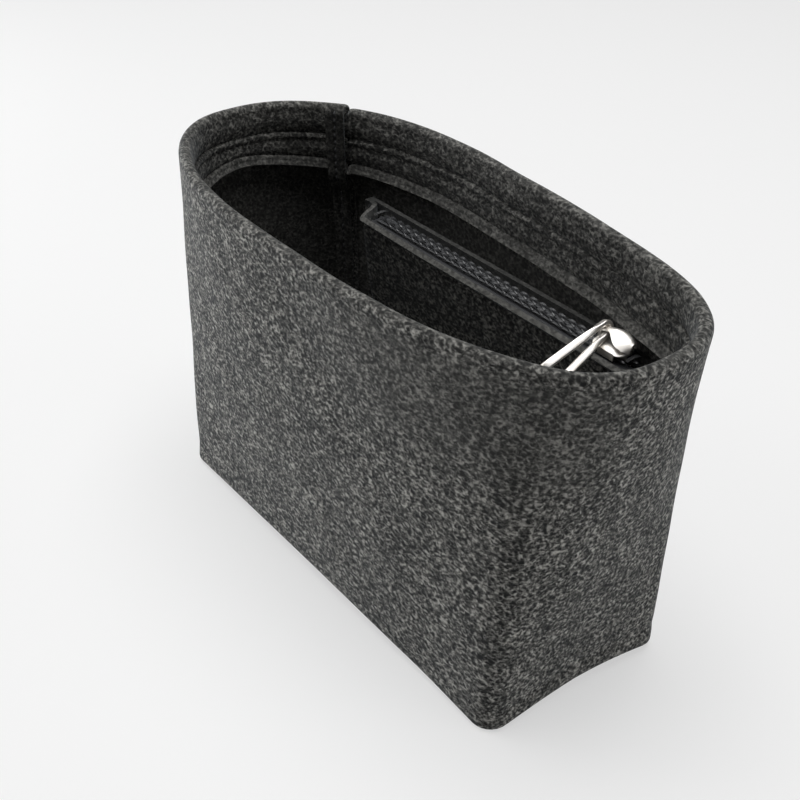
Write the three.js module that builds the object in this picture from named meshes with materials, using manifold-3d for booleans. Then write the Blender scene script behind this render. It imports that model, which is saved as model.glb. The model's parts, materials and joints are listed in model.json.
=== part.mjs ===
// Purse organizer insert: an open felt pouch with a zip pocket sewn to its back wall.
// Millimetres, +Z up, +X along the pouch, -Y the front. The origin is on the ground under the middle.
import * as THREE from 'three';
import { mergeVertices } from 'three/addons/utils/BufferGeometryUtils.js';
import Module from 'manifold-3d';

const wasm = await Module();
wasm.setup();

// Pouch
const BASE_LENGTH = 200;
const BASE_DEPTH = 88;
const BASE_CORNER_RADIUS = 8;
const HEIGHT = 141.5;
const MOUTH_LENGTH = 239;
const MOUTH_DEPTH = 101;
const MOUTH_SQUARENESS = 2.44;
const FLARE_POWER = 0.55;
const EDGE_LIFT_LONG = 3.7;
const EDGE_LIFT_SHORT = 3.8;
const EDGE_LIFT_RINGS = [0, 10, 20, 32];
const FELT = 2.2;
const SEWN_GAP = 0.3;

// How the slack felt stands: the base out of square, the right end leaning straighter, the mouth uneven
const CORNER_SLIP_FORWARD = 9.5;
const CORNER_SLIP_RIGHT = 4.2;
const CORNER_TUCK = 2.8;
const END_BOW = 0.8;
const END_FLARE_POWER = 1.2;
const BACK_BULGE = { depth: 6.6, place: -52, width: 52 };
const BACK_REACH = 45;
const MOUTH_SPREAD = { depth: 3.2, alongFrom: 65, alongTo: 100, acrossFrom: -10, acrossTo: 25 };

// Hem, seams and thread
const HEM_DEPTH_END = 23.5;
const HEM_DEPTH_SIDE = 27;
const HEM_PLY_GAP = 0.4;
const HEM_LIP = 3;
const HEM_LIP_FLARE = 0.8;
const UPPER_ROW_DEPTH = 12;
const BASE_SEAM_ALLOWANCE = 5;
const BASE_RIM_GAP = 0.9;
const WALL_SEAM_ALLOWANCE = 8;
const WALL_SEAM_SHIFT = 4.5;
const WALL_SEAM_GROOVE = 0.7;
const THREAD = 0.7;

// Pocket
const POCKET_INSET_LEFT = 31;
const POCKET_INSET_RIGHT = 12;
const POCKET_DROP = 33.3;
const POCKET_BOTTOM = 18;
const POCKET_FELT = 2;
const POCKET_SEAM_ALLOWANCE = 5;
const POCKET_END_CURL = 9;
const POCKET_TAPER = 1.3;

// Zip
const ZIP_HALF_GAP = 5.5;
const ZIP_PINCH = 0.829;
const ZIP_SINK = 2.2;
const TAPE = 0.6;
const TAPE_TURN = 8;
const COIL_WIDTH = 2.4;
const COIL_HEIGHT = 2.2;
const COIL_GAP = 1.4;
const TACK_LENGTH = 1.4;
const TACK_HEIGHT = 0.8;
const TAPE_ROW_DEPTH = 3;

// Slider and pull
const SLIDER_PARK = 10;
const SLIDER_LENGTH = 14;
const SLIDER_SIDE = 0.8;
const SLIDER_PLATE = 1;
const SLIDER_CLEARANCE = 0.3;
const SLIDER_NECK_LENGTH = 2.6;
const SLIDER_WING_ROUND = 3.4;
const SLIDER_TAIL_ROUND = 2.1;
const BRIDGE_LENGTH = 15.2;
const BRIDGE_THICKNESS = 1.1;
const BRIDGE_STRAP_WIDTH = 2;
const BRIDGE_STRAP_HEIGHT = 4.4;
const BRIDGE_DOME_WIDTH = 7.2;
const BRIDGE_RISE = 1.95;
const BRIDGE_CROWN = 0.06;
const POST_LENGTH = 1.2;
const PULL_PLACE = 3.2;
const PULL_LENGTH = 33;
const PULL_END_WIDTH = 11.2;
const PULL_EYE = 2.4;
const PULL_EYE_LEG = 1.5;
const PULL_END_LEG = 2.6;
const PULL_THICKNESS = 1.5;
const PULL_DIP = THREE.MathUtils.degToRad(16);

// How finely the curves are cut
const END_STEPS = 6;
const SIDE_STEPS = 14;
const CORNER_STEPS = 6;
const FOLD_STEPS = 5;
const CURL_STEPS = 8;
const SPAN_STEPS = 12;
const BRIDGE_STEPS = 12;
const BRIDGE_CROSS_STEPS = 6;
const ROUND_STEPS = 5;
const EYE_STEPS = 9;
const THREAD_SIDES = 4;
const MOUTH_SAMPLES = 1440;
const WALL_LEVELS = [0, 0.02, 0.06, 0.14, 0.28, 0.46, 0.66, 0.84, 1];
const LINING_LEVELS = [0.8, 0.6, 0.42, 0.27, 0.14, 0.05];
const POCKET_LEVELS = [0, 0.07, 0.16, 0.3, 0.48, 0.66, 0.83, 1];
const WELD = 1e-4;

const { lerp, smoothstep, clamp } = THREE.MathUtils;

// Materials
function paint(color, roughness, metalness = 0) {
  return new THREE.MeshStandardMaterial({ color, roughness, metalness });
}
const charcoalFelt = paint(0x3a3a39, 0.95);
const blackThread = paint(0x1f1f20, 0.7);
const blackTape = paint(0x17181a, 0.8);
const blackNylon = paint(0x141517, 0.4);
const silverMetal = paint(0xcfcac4, 0.22, 1);

// A closed solid from its points and triangles, turned so that its faces point out
function solid(points, triangles) {
  let volume = 0;
  for (const [a, b, c] of triangles) {
    volume += points[a].dot(points[b].clone().cross(points[c]));
  }
  const order = volume > 0 ? triangles : triangles.map(([a, b, c]) => [a, c, b]);
  const geometry = new THREE.BufferGeometry().setFromPoints(points);
  geometry.setIndex(order.flat());
  return geometry;
}

// The triangles between rows of points, each row given by its first index
function bands(rows, width, wrap) {
  const triangles = [];
  for (let i = 0; i + 1 < rows.length; i += 1) {
    for (let j = 0; j < (wrap ? width : width - 1); j += 1) {
      const next = (j + 1) % width;
      triangles.push([rows[i] + j, rows[i + 1] + j, rows[i + 1] + next]);
      triangles.push([rows[i] + j, rows[i + 1] + next, rows[i] + next]);
    }
  }
  return triangles;
}

// A ring: the same closed section at every column, and the last column meets the first
function ring(sections) {
  const width = sections[0].length;
  const rows = sections.map((section, i) => i * width);
  return solid(sections.flat(), bands([...rows, rows[0]], width, true));
}

// A bar: the same closed section at every column, with flat ends
function bar(sections) {
  const width = sections[0].length;
  const rows = sections.map((section, i) => i * width);
  const triangles = bands(rows, width, true);
  const last = rows[rows.length - 1];
  for (let j = 1; j + 1 < width; j += 1) {
    triangles.push([0, j, j + 1]);
    triangles.push([last, last + j + 1, last + j]);
  }
  return solid(sections.flat(), triangles);
}

// A sheet: each column runs up one face and back down the other
function sheet(columns, front, back) {
  const sections = columns.map((u) => [...front(u), ...back(u).reverse()]);
  const width = sections[0].length;
  const rows = sections.map((section, i) => i * width);
  const triangles = bands(rows, width, true);
  for (const [start, flip] of [[0, false], [rows[rows.length - 1], true]]) {
    for (let j = 0; j + 1 < width / 2; j += 1) {
      const [a, b] = [start + j, start + j + 1];
      const [c, d] = [start + width - 2 - j, start + width - 1 - j];
      triangles.push(flip ? [a, c, b] : [a, b, c]);
      triangles.push(flip ? [a, d, c] : [a, c, d]);
    }
  }
  return solid(sections.flat(), triangles);
}

// A thread along a path, whose faces look towards the given normals
function thread(path, normals) {
  const sections = path.map((point, i) => {
    const before = path[Math.max(i - 1, 0)];
    const after = path[Math.min(i + 1, path.length - 1)];
    const along = after.clone().sub(before).normalize();
    const across = along.clone().cross(normals[i]).normalize();
    const out = across.clone().cross(along);
    return Array.from({ length: THREAD_SIDES }, (_, j) => {
      const angle = (j * 2 * Math.PI) / THREAD_SIDES;
      const offset = across.clone().multiplyScalar(Math.cos(angle)).addScaledVector(out, Math.sin(angle));
      return point.clone().addScaledVector(offset, THREAD / 2);
    });
  });
  return bar(sections);
}

// Joins and cuts
function toManifold(geometry) {
  const bare = new THREE.BufferGeometry();
  bare.setAttribute('position', geometry.getAttribute('position'));
  bare.setIndex(geometry.getIndex());
  const merged = mergeVertices(bare, WELD);
  const vertProperties = new Float32Array(merged.getAttribute('position').array);
  const triVerts = new Uint32Array(merged.getIndex().array);
  return new wasm.Manifold(new wasm.Mesh({ numProp: 3, vertProperties, triVerts }));
}

function toGeometry(manifold) {
  const mesh = manifold.getMesh();
  const geometry = new THREE.BufferGeometry();
  geometry.setAttribute('position', new THREE.BufferAttribute(new Float32Array(mesh.vertProperties), 3));
  geometry.setIndex(new THREE.BufferAttribute(new Uint32Array(mesh.triVerts), 1));
  return geometry;
}

function joined(...geometries) {
  const [first, ...rest] = geometries.map(toManifold);
  return toGeometry(rest.reduce((whole, next) => whole.add(next), first));
}

// The base outline runs anticlockwise from the middle of the right end. A share of its length names a place.
const sideLength = (quarter) => (quarter % 2 ? BASE_LENGTH : BASE_DEPTH) - 2 * BASE_CORNER_RADIUS;
const CORNER_ARC = (BASE_CORNER_RADIUS * Math.PI) / 2;
const BASE_PERIMETER = 2 * (sideLength(0) + sideLength(1)) + 4 * CORNER_ARC;

function placeAt(share) {
  let run = ((share - Math.floor(share)) * BASE_PERIMETER + sideLength(0) / 2) % BASE_PERIMETER;
  for (let quarter = 0; quarter < 4; quarter += 1) {
    if (run <= sideLength(quarter)) {
      return { quarter, corner: false, t: run / sideLength(quarter) };
    }
    run -= sideLength(quarter);
    if (run <= CORNER_ARC) {
      return { quarter, corner: true, t: run / CORNER_ARC };
    }
    run -= CORNER_ARC;
  }
  return { quarter: 0, corner: false, t: 0 };
}

function shareAt(quarter, corner, t) {
  let run = -sideLength(0) / 2;
  for (let passed = 0; passed < quarter; passed += 1) {
    run += sideLength(passed) + CORNER_ARC;
  }
  run += corner ? sideLength(quarter) + t * CORNER_ARC : t * sideLength(quarter);
  return run / BASE_PERIMETER;
}

// The point of a rounded rectangle that lies at the same place as on the base outline
function roundedRectangle(length, depth, radius, { quarter, corner, t }) {
  const turn = (quarter * Math.PI) / 2;
  const out = new THREE.Vector2(Math.cos(turn), Math.sin(turn));
  const along = new THREE.Vector2(-out.y, out.x);
  const halfOut = (quarter % 2 ? depth : length) / 2;
  const halfAlong = (quarter % 2 ? length : depth) / 2 - radius;
  if (!corner) {
    return out.multiplyScalar(halfOut).addScaledVector(along, halfAlong * (2 * t - 1));
  }
  const angle = turn + (t * Math.PI) / 2;
  const centre = out.multiplyScalar(halfOut - radius).addScaledVector(along, halfAlong);
  return centre.add(new THREE.Vector2(Math.cos(angle), Math.sin(angle)).multiplyScalar(radius));
}

// The right-hand back corner has slipped forward, the left-hand front one is tucked in, the right end bows in
function skewed(point) {
  const along = point.x / (BASE_LENGTH / 2);
  const across = point.y / (BASE_DEPTH / 2);
  const slipped = smoothstep(along, 0, 1) * smoothstep(across, -1, 1);
  const bowed = smoothstep(along, 0.5, 1) * Math.cos((clamp(across, -1, 1) * Math.PI) / 2);
  const tucked = smoothstep(-along, 0.5, 1) * smoothstep(-across, 0.2, 1);
  point.x += CORNER_SLIP_RIGHT * slipped - END_BOW * bowed + CORNER_TUCK * tucked;
  point.y -= CORNER_SLIP_FORWARD * slipped;
  return point;
}

function insetBase(share, inset) {
  const radius = Math.max(BASE_CORNER_RADIUS - inset, 1);
  const square = roundedRectangle(BASE_LENGTH - 2 * inset, BASE_DEPTH - 2 * inset, radius, placeAt(share));
  return skewed(square);
}

// The mouth is an oval between an ellipse and a rectangle, measured along its length like the base. It bulges
// at the back on the left, and a little at its right-hand back corner.
function slack({ x, y }) {
  const offset = (x - BACK_BULGE.place) / BACK_BULGE.width;
  const back = BACK_BULGE.depth * Math.exp(-(offset ** 2)) * smoothstep(y, 0, BACK_REACH);
  const { depth, alongFrom, alongTo, acrossFrom, acrossTo } = MOUTH_SPREAD;
  const corner = depth * smoothstep(x, alongFrom, alongTo) * smoothstep(y, acrossFrom, acrossTo);
  return new THREE.Vector2(x, y + back + corner);
}

const mouthPoints = Array.from({ length: MOUTH_SAMPLES + 1 }, (_, i) => {
  const angle = (i * 2 * Math.PI) / MOUTH_SAMPLES;
  const bend = (value) => (Math.sign(value) * Math.abs(value) ** (2 / MOUTH_SQUARENESS)) / 2;
  return slack({ x: MOUTH_LENGTH * bend(Math.cos(angle)), y: MOUTH_DEPTH * bend(Math.sin(angle)) });
});
const mouthRuns = [0];
for (let i = 1; i <= MOUTH_SAMPLES; i += 1) {
  mouthRuns.push(mouthRuns[i - 1] + mouthPoints[i].distanceTo(mouthPoints[i - 1]));
}

function mouth(share) {
  const run = (share - Math.floor(share)) * mouthRuns[MOUTH_SAMPLES];
  let low = 0;
  let high = MOUTH_SAMPLES;
  while (high - low > 1) {
    const middle = (low + high) >> 1;
    if (mouthRuns[middle] <= run) {
      low = middle;
    } else {
      high = middle;
    }
  }
  const part = (run - mouthRuns[low]) / (mouthRuns[high] - mouthRuns[low]);
  return mouthPoints[low].clone().lerp(mouthPoints[high], part);
}

// The outer face of the wall: ruled from the base outline to the mouth, and bulging out low down
function outerFace(share, z) {
  const foot = insetBase(share, 0);
  const rightEnd = smoothstep(foot.x, BASE_LENGTH / 4, BASE_LENGTH / 2 - BASE_CORNER_RADIUS);
  const lift = endLift(share);
  const rise = (Math.max(z - lift, 0) / (HEIGHT - lift)) ** lerp(FLARE_POWER, END_FLARE_POWER, rightEnd);
  return foot.lerp(mouth(share), rise);
}

function inward(share, z) {
  const step = 1e-3;
  const along = outerFace(share + step, z).sub(outerFace(share - step, z)).normalize();
  return new THREE.Vector2(-along.y, along.x);
}

function wallPoint(share, z, inset) {
  const point = outerFace(share, z).addScaledVector(inward(share, z), inset);
  return new THREE.Vector3(point.x, point.y, z);
}

function wallNormal(share, z) {
  const normal = inward(share, z);
  return new THREE.Vector3(normal.x, normal.y, 0);
}

// The middle of each bottom edge stands a little off the ground
function endLift(share) {
  const { quarter, corner, t } = placeAt(share);
  return corner || quarter % 2 ? 0 : EDGE_LIFT_SHORT * Math.sin(Math.PI * t);
}

function edgeLift(share) {
  const { quarter, corner, t } = placeAt(share);
  return quarter % 2 && !corner ? EDGE_LIFT_LONG * Math.sin(Math.PI * t) : endLift(share);
}

// The wall is cut into columns, and one of them is its seam
const SEAM_SHARE = shareAt(1, true, 0) - WALL_SEAM_SHIFT / BASE_PERIMETER;
const columns = [SEAM_SHARE];
for (let quarter = 0; quarter < 4; quarter += 1) {
  const sideSteps = quarter % 2 ? SIDE_STEPS : END_STEPS;
  for (let i = 0; i < sideSteps; i += 1) {
    columns.push(shareAt(quarter, false, i / sideSteps));
  }
  for (let i = 0; i < CORNER_STEPS; i += 1) {
    columns.push(shareAt(quarter, true, i / CORNER_STEPS));
  }
}
columns.sort((a, b) => a - b);

// The inner face of the back wall, as a depth at a distance along the pouch
const backColumns = columns.filter((share) => wallPoint(share, HEIGHT, 0).y > -WELD);

function backWall(x, z) {
  const points = backColumns.map((share) => wallPoint(share, z, FELT));
  const i = points.findIndex((point) => point.x <= x);
  const [right, left] = [points[i - 1], points[i]];
  return lerp(left.y, right.y, (x - left.x) / (right.x - left.x));
}

// Wall: the felt strip with its folded hem, its turned-in foot and its turned-over end
const FOLD_RADIUS = FELT + HEM_PLY_GAP / 2;
const FOLD_Z = HEIGHT - FOLD_RADIUS;
const HEM_FACE = 2 * FOLD_RADIUS;

function hemEdge(share) {
  const sideways = Math.abs(inward(share, HEIGHT).y);
  return HEIGHT - lerp(HEM_DEPTH_END, HEM_DEPTH_SIDE, sideways);
}

function footTop(share) {
  return edgeLift(share) + 2 * FELT + SEWN_GAP;
}

function wallSection(share) {
  const ground = edgeLift(share);
  const hem = hemEdge(share);
  const groove = Math.abs(share - SEAM_SHARE) < WELD ? WALL_SEAM_GROOVE : 0;
  const section = WALL_LEVELS.map((level) => [groove, lerp(ground, FOLD_Z, level)]);
  for (let i = 1; i < FOLD_STEPS; i += 1) {
    const angle = (i * Math.PI) / FOLD_STEPS;
    section.push([FOLD_RADIUS * (1 - Math.cos(angle)), FOLD_Z + FOLD_RADIUS * Math.sin(angle)]);
  }
  const hemBack = FELT + HEM_PLY_GAP;
  section.push([HEM_FACE, FOLD_Z], [HEM_FACE, HEIGHT - UPPER_ROW_DEPTH], [HEM_FACE, hem + HEM_LIP]);
  section.push([HEM_FACE + HEM_LIP_FLARE, hem], [hemBack + HEM_LIP_FLARE, hem]);
  section.push([hemBack, hem + HEM_LIP], [hemBack, FOLD_Z], [FELT, FOLD_Z], [FELT, hem]);
  for (const level of LINING_LEVELS) {
    section.push([FELT, lerp(footTop(share), hem, level)]);
  }
  section.push([FELT, footTop(share)]);
  const points = section.map(([inset, z]) => wallPoint(share, z, inset));
  for (const z of [footTop(share), footTop(share) - FELT]) {
    const toe = insetBase(share, FELT + BASE_SEAM_ALLOWANCE);
    points.push(new THREE.Vector3(toe.x, toe.y, z));
  }
  points.push(wallPoint(share, footTop(share) - FELT, FELT), wallPoint(share, ground, FELT));
  return points;
}

// How far inside the wall the turned-over end lies: on the wall low down, and on the hem above
function turnedEndInset(share, z) {
  const hem = hemEdge(share);
  const step = smoothstep(z, hem - 3 * HEM_LIP, hem - HEM_LIP / 2);
  return lerp(FELT, HEM_FACE + HEM_LIP_FLARE, step) + SEWN_GAP;
}

function turnedEndLevels(share) {
  const low = footTop(share) + THREAD + 2 * SEWN_GAP;
  const hem = hemEdge(share);
  const bend = [hem - 3 * HEM_LIP, hem - 2 * HEM_LIP, hem - HEM_LIP, hem];
  return [low, lerp(low, bend[0], 0.2), lerp(low, bend[0], 0.6), ...bend, FOLD_Z - FELT];
}

function turnedEnd() {
  const root = FELT / 2;
  const runs = [-root, root, WALL_SEAM_ALLOWANCE / 3, (WALL_SEAM_ALLOWANCE * 2) / 3, WALL_SEAM_ALLOWANCE];
  const shares = runs.map((run) => SEAM_SHARE + run / BASE_PERIMETER);
  const rear = (share) => turnedEndLevels(share).map((z) => {
    return wallPoint(share, z, share < SEAM_SHARE ? root : turnedEndInset(share, z));
  });
  const face = (share) => turnedEndLevels(share).map((z) => {
    return wallPoint(share, z, turnedEndInset(share, z) + FELT);
  });
  return sheet(shares, face, rear);
}

function wallPanel() {
  return joined(ring(columns.map(wallSection)), turnedEnd());
}

// Base: a felt plate inside the foot of the wall, flat in the middle and lifted with the bottom edges
function basePanel() {
  const reach = Math.max(...EDGE_LIFT_RINGS);
  const layer = (thickness) => EDGE_LIFT_RINGS.map((inset) => columns.map((share) => {
    const lift = edgeLift(share) * (1 - smoothstep(inset, 0, reach));
    if (inset === 0) {
      return wallPoint(share, lift + thickness, FELT + BASE_RIM_GAP);
    }
    const point = insetBase(share, FELT + inset);
    return new THREE.Vector3(point.x, point.y, lift + thickness);
  }));
  const rings = [...layer(0).reverse(), ...layer(FELT)];
  const width = columns.length;
  const points = [...rings.flat(), new THREE.Vector3(0, 0, 0), new THREE.Vector3(0, 0, FELT)];
  const triangles = bands(rings.map((ringPoints, i) => i * width), width, true);
  const last = (rings.length - 1) * width;
  for (let j = 0; j < width; j += 1) {
    const next = (j + 1) % width;
    triangles.push([rings.length * width, j, next]);
    triangles.push([rings.length * width + 1, last + next, last + j]);
  }
  return solid(points, triangles);
}

// Thread rows round the hem and the base, which stop short of the turned-over end
const ROW_START = SEAM_SHARE + (WALL_SEAM_ALLOWANCE + THREAD * 2) / BASE_PERIMETER;
const ROW_END = SEAM_SHARE + 1 - (FELT + THREAD) / BASE_PERIMETER;
const rowShares = () => {
  const between = columns.flatMap((share) => [share, share + 1]);
  const inside = between.filter((share) => share > ROW_START + WELD && share < ROW_END - WELD);
  return [ROW_START, ...inside.sort((a, b) => a - b), ROW_END];
};

function hemRow(heightAt) {
  const shares = rowShares();
  const inset = HEM_FACE + SEWN_GAP + THREAD / 2;
  const path = shares.map((share) => wallPoint(share, heightAt(share), inset));
  return thread(path, shares.map((share) => wallNormal(share, heightAt(share))));
}

function baseRow() {
  const shares = rowShares();
  const path = shares.map((share) => {
    const point = insetBase(share, FELT + BASE_SEAM_ALLOWANCE / 2);
    return new THREE.Vector3(point.x, point.y, footTop(share) + SEWN_GAP + THREAD / 2);
  });
  return thread(path, path.map(() => new THREE.Vector3(0, 0, 1)));
}

function wallSeamRow() {
  const share = SEAM_SHARE + WALL_SEAM_ALLOWANCE / 2 / BASE_PERIMETER;
  const levels = turnedEndLevels(share);
  const inset = FELT + SEWN_GAP + THREAD / 2;
  const path = levels.map((z) => wallPoint(share, z, turnedEndInset(share, z) + inset));
  return thread(path, levels.map((z) => wallNormal(share, z)));
}

// Pocket: the back panel hangs straight, like the zip, and meets the curved wall at its ends
const POCKET_LEFT = POCKET_INSET_LEFT - BASE_LENGTH / 2;
const POCKET_RIGHT = BASE_LENGTH / 2 - POCKET_INSET_RIGHT;
const POCKET_TOP = HEIGHT - POCKET_DROP;
const LEFT_ROW = POCKET_LEFT - POCKET_SEAM_ALLOWANCE / 2;
const RIGHT_ROW = POCKET_RIGHT + POCKET_SEAM_ALLOWANCE / 2;
const ZIP_LEFT = POCKET_LEFT + POCKET_END_CURL;
const ZIP_RIGHT = POCKET_RIGHT - POCKET_END_CURL;
const ZIP_Y = backWall(ZIP_RIGHT, POCKET_TOP) - SEWN_GAP - POCKET_FELT - ZIP_HALF_GAP + ZIP_PINCH;
const POCKET_SEAM_Z = POCKET_BOTTOM + POCKET_SEAM_ALLOWANCE;
const pocketHeight = (level) => lerp(POCKET_BOTTOM, POCKET_TOP, level);

function pocketRear(x, z) {
  const atTop = ZIP_Y + ZIP_HALF_GAP + POCKET_FELT;
  const atBottom = backWall(0, POCKET_BOTTOM) - SEWN_GAP;
  const hung = lerp(atBottom, atTop, (z - POCKET_BOTTOM) / (POCKET_TOP - POCKET_BOTTOM));
  return Math.min(hung, backWall(x, z) - SEWN_GAP);
}

const pocketBackFace = (x, z) => pocketRear(x, z) - POCKET_FELT;

// The front panel lies on the back panel at its seams and bellies forward between them
function pocketFront(x, z) {
  const seam = pocketBackFace(x, z) - SEWN_GAP - POCKET_FELT / 2;
  const rise = clamp((z - POCKET_SEAM_Z) / (POCKET_TOP - POCKET_SEAM_Z), 0, 1);
  const atTop = ZIP_Y - ZIP_HALF_GAP - POCKET_FELT / 2;
  const atBottom = pocketBackFace(0, POCKET_BOTTOM) - SEWN_GAP - POCKET_FELT / 2;
  const belly = Math.min(lerp(atTop, atBottom, (1 - rise) ** POCKET_TAPER), seam);
  const left = smoothstep(x, POCKET_LEFT, POCKET_LEFT + POCKET_END_CURL);
  const right = 1 - smoothstep(x, POCKET_RIGHT - POCKET_END_CURL, POCKET_RIGHT);
  return lerp(seam, belly, left * right);
}

function pocketFrontFace(x, z, side) {
  const step = 0.05;
  const slope = (pocketFront(x + step, z) - pocketFront(x - step, z)) / (2 * step);
  const length = Math.hypot(slope, 1);
  const reach = (side * POCKET_FELT) / 2 / length;
  return new THREE.Vector3(x - slope * reach, pocketFront(x, z) + reach, z);
}

function pocketColumns() {
  const curl = (from, to) => Array.from({ length: CURL_STEPS }, (_, i) => lerp(from, to, i / CURL_STEPS));
  const spanLeft = POCKET_LEFT + POCKET_END_CURL;
  const spanRight = POCKET_RIGHT - POCKET_END_CURL;
  const span = Array.from({ length: SPAN_STEPS }, (_, i) => lerp(spanLeft, spanRight, i / SPAN_STEPS));
  const leftSeam = [POCKET_LEFT - POCKET_SEAM_ALLOWANCE, LEFT_ROW];
  const rightSeam = [POCKET_RIGHT, RIGHT_ROW, POCKET_RIGHT + POCKET_SEAM_ALLOWANCE];
  const ends = [curl(POCKET_LEFT, spanLeft), curl(spanRight, POCKET_RIGHT)];
  return [...leftSeam, ...ends[0], ...span, ...ends[1], ...rightSeam];
}

const zipColumns = () => pocketColumns().filter((x) => x > ZIP_LEFT - WELD && x < ZIP_RIGHT + WELD);

function pocketFrontPanel() {
  const face = (x) => POCKET_LEVELS.map((level) => pocketFrontFace(x, pocketHeight(level), -1));
  const rear = (x) => POCKET_LEVELS.map((level) => pocketFrontFace(x, pocketHeight(level), 1));
  return sheet(pocketColumns(), face, rear);
}

function pocketBackPanel() {
  const face = (x) => POCKET_LEVELS.map((level) => {
    return new THREE.Vector3(x, pocketBackFace(x, pocketHeight(level)), pocketHeight(level));
  });
  const rear = (x) => POCKET_LEVELS.map((level) => {
    return new THREE.Vector3(x, pocketRear(x, pocketHeight(level)), pocketHeight(level));
  });
  return sheet(pocketColumns(), face, rear);
}

// Thread rows on the front face of the pocket
const FRONT = new THREE.Vector3(0, -1, 0);

function pocketRow(places) {
  const path = places.map(([x, z]) => {
    const point = pocketFrontFace(x, z, -1);
    point.y -= SEWN_GAP + THREAD / 2;
    return point;
  });
  return thread(path, path.map(() => FRONT));
}

function pocketEndRow(x) {
  return pocketRow(POCKET_LEVELS.map((level) => [x, lerp(POCKET_SEAM_Z, POCKET_TOP - THREAD, level)]));
}

// Zip: each tape lies flat under its half of the coil and turns down against its felt panel
const TAPE_TOP = POCKET_TOP - ZIP_SINK;
const COIL_TOP = TAPE_TOP + SEWN_GAP + COIL_HEIGHT;

const frontSeat = (x, z) => pocketFrontFace(x, z, 1).y + SEWN_GAP;
const backSeat = (x, z) => pocketBackFace(x, z) - SEWN_GAP;

function zipTape(side) {
  const seat = side < 0 ? frontSeat : backSeat;
  const edge = ZIP_Y + (side * COIL_GAP) / 2;
  const low = TAPE_TOP - TAPE_TURN;
  const top = (x) => [[edge, TAPE_TOP], [seat(x, TAPE_TOP), TAPE_TOP], [seat(x, low), low]];
  const under = (x) => [
    [edge, TAPE_TOP - TAPE],
    [seat(x, TAPE_TOP) - side * TAPE, TAPE_TOP - TAPE],
    [seat(x, low) - side * TAPE, low],
  ];
  const at = (x, places) => places.map(([y, z]) => new THREE.Vector3(x, y, z));
  return sheet(zipColumns(), (x) => at(x, top(x)), (x) => at(x, under(x)));
}

// A section drawn in depth and height, run along the pouch
function runAlong(shape, length) {
  const geometry = new THREE.ExtrudeGeometry(shape, { depth: length, bevelEnabled: false });
  const turn = new THREE.Matrix4().makeBasis(
    new THREE.Vector3(0, 1, 0),
    new THREE.Vector3(0, 0, 1),
    new THREE.Vector3(1, 0, 0),
  );
  return geometry.applyMatrix4(turn);
}

function zipCoil() {
  const shape = new THREE.Shape();
  const crown = COIL_HEIGHT / 2;
  shape.moveTo(0, 0);
  shape.lineTo(COIL_WIDTH, 0);
  shape.lineTo(COIL_WIDTH, crown);
  shape.quadraticCurveTo(COIL_WIDTH, COIL_HEIGHT, COIL_WIDTH / 2, COIL_HEIGHT);
  shape.quadraticCurveTo(0, COIL_HEIGHT, 0, crown);
  return runAlong(shape, ZIP_RIGHT - ZIP_LEFT);
}

function zipTack() {
  const geometry = new THREE.BoxGeometry(TACK_LENGTH, 2 * COIL_WIDTH + COIL_GAP, TACK_HEIGHT);
  return geometry.translate(0, 0, TACK_HEIGHT / 2);
}

// Thread row that holds the back tape: on the turned-down part of the tape
function backTapeRow() {
  const z = TAPE_TOP - TAPE_TURN / 2;
  const standOff = TAPE + SEWN_GAP + THREAD / 2;
  const path = zipColumns().map((x) => new THREE.Vector3(x, backSeat(x, z) - standOff, z));
  return thread(path, path.map(() => FRONT));
}

// Slider, drawn about its own middle and standing on the coil
const CHANNEL = COIL_WIDTH + COIL_GAP / 2 + SLIDER_CLEARANCE;
const SLIDER_WIDTH = 2 * (CHANNEL + SLIDER_SIDE);
const PLATE_UNDER = COIL_TOP + SLIDER_CLEARANCE;
const PLATE_TOP = PLATE_UNDER + SLIDER_PLATE;
const PLATE_LOW = TAPE_TOP - TAPE - SLIDER_CLEARANCE - SLIDER_PLATE;

function platePlan() {
  const [end, half] = [SLIDER_LENGTH / 2, SLIDER_WIDTH / 2];
  const [tail, wing] = [SLIDER_TAIL_ROUND, SLIDER_WING_ROUND];
  const shape = new THREE.Shape();
  shape.moveTo(-end + tail, -half);
  shape.lineTo(end - wing, -half);
  shape.absarc(end - wing, -half + wing, wing, -Math.PI / 2, 0);
  shape.lineTo(end, half - wing);
  shape.absarc(end - wing, half - wing, wing, 0, Math.PI / 2);
  shape.lineTo(-end + tail, half);
  shape.absarc(-end + tail, half - tail, tail, Math.PI / 2, Math.PI);
  shape.lineTo(-end, -half + tail);
  shape.absarc(-end + tail, -half + tail, tail, Math.PI, Math.PI * 1.5);
  return shape;
}

function plate(z) {
  const settings = { depth: SLIDER_PLATE, bevelEnabled: false, curveSegments: ROUND_STEPS };
  return new THREE.ExtrudeGeometry(platePlan(), settings).translate(0, 0, z);
}

function block(x0, x1, y0, y1, z0, z1) {
  const geometry = new THREE.BoxGeometry(x1 - x0, y1 - y0, z1 - z0);
  return geometry.translate((x0 + x1) / 2, (y0 + y1) / 2, (z0 + z1) / 2);
}

const BRIDGE_LEFT = -BRIDGE_LENGTH / 2;
const PULL_X = BRIDGE_LEFT + PULL_PLACE;
const PIVOT_Z = PLATE_TOP + BRIDGE_STRAP_HEIGHT;
const archRise = (x) => BRIDGE_RISE * Math.sin((Math.PI * (x - BRIDGE_LEFT)) / BRIDGE_LENGTH);
const strapSlope = (x) => {
  const turn = Math.PI / BRIDGE_LENGTH;
  return Math.atan(BRIDGE_RISE * turn * Math.cos(turn * (x - BRIDGE_LEFT)));
};
const archMiddle = (x) => PIVOT_Z + archRise(x) - archRise(PULL_X);
const bridgeFace = (x, y, side) => archMiddle(x) + (side * BRIDGE_THICKNESS) / 2 - BRIDGE_CROWN * y * y;

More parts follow.
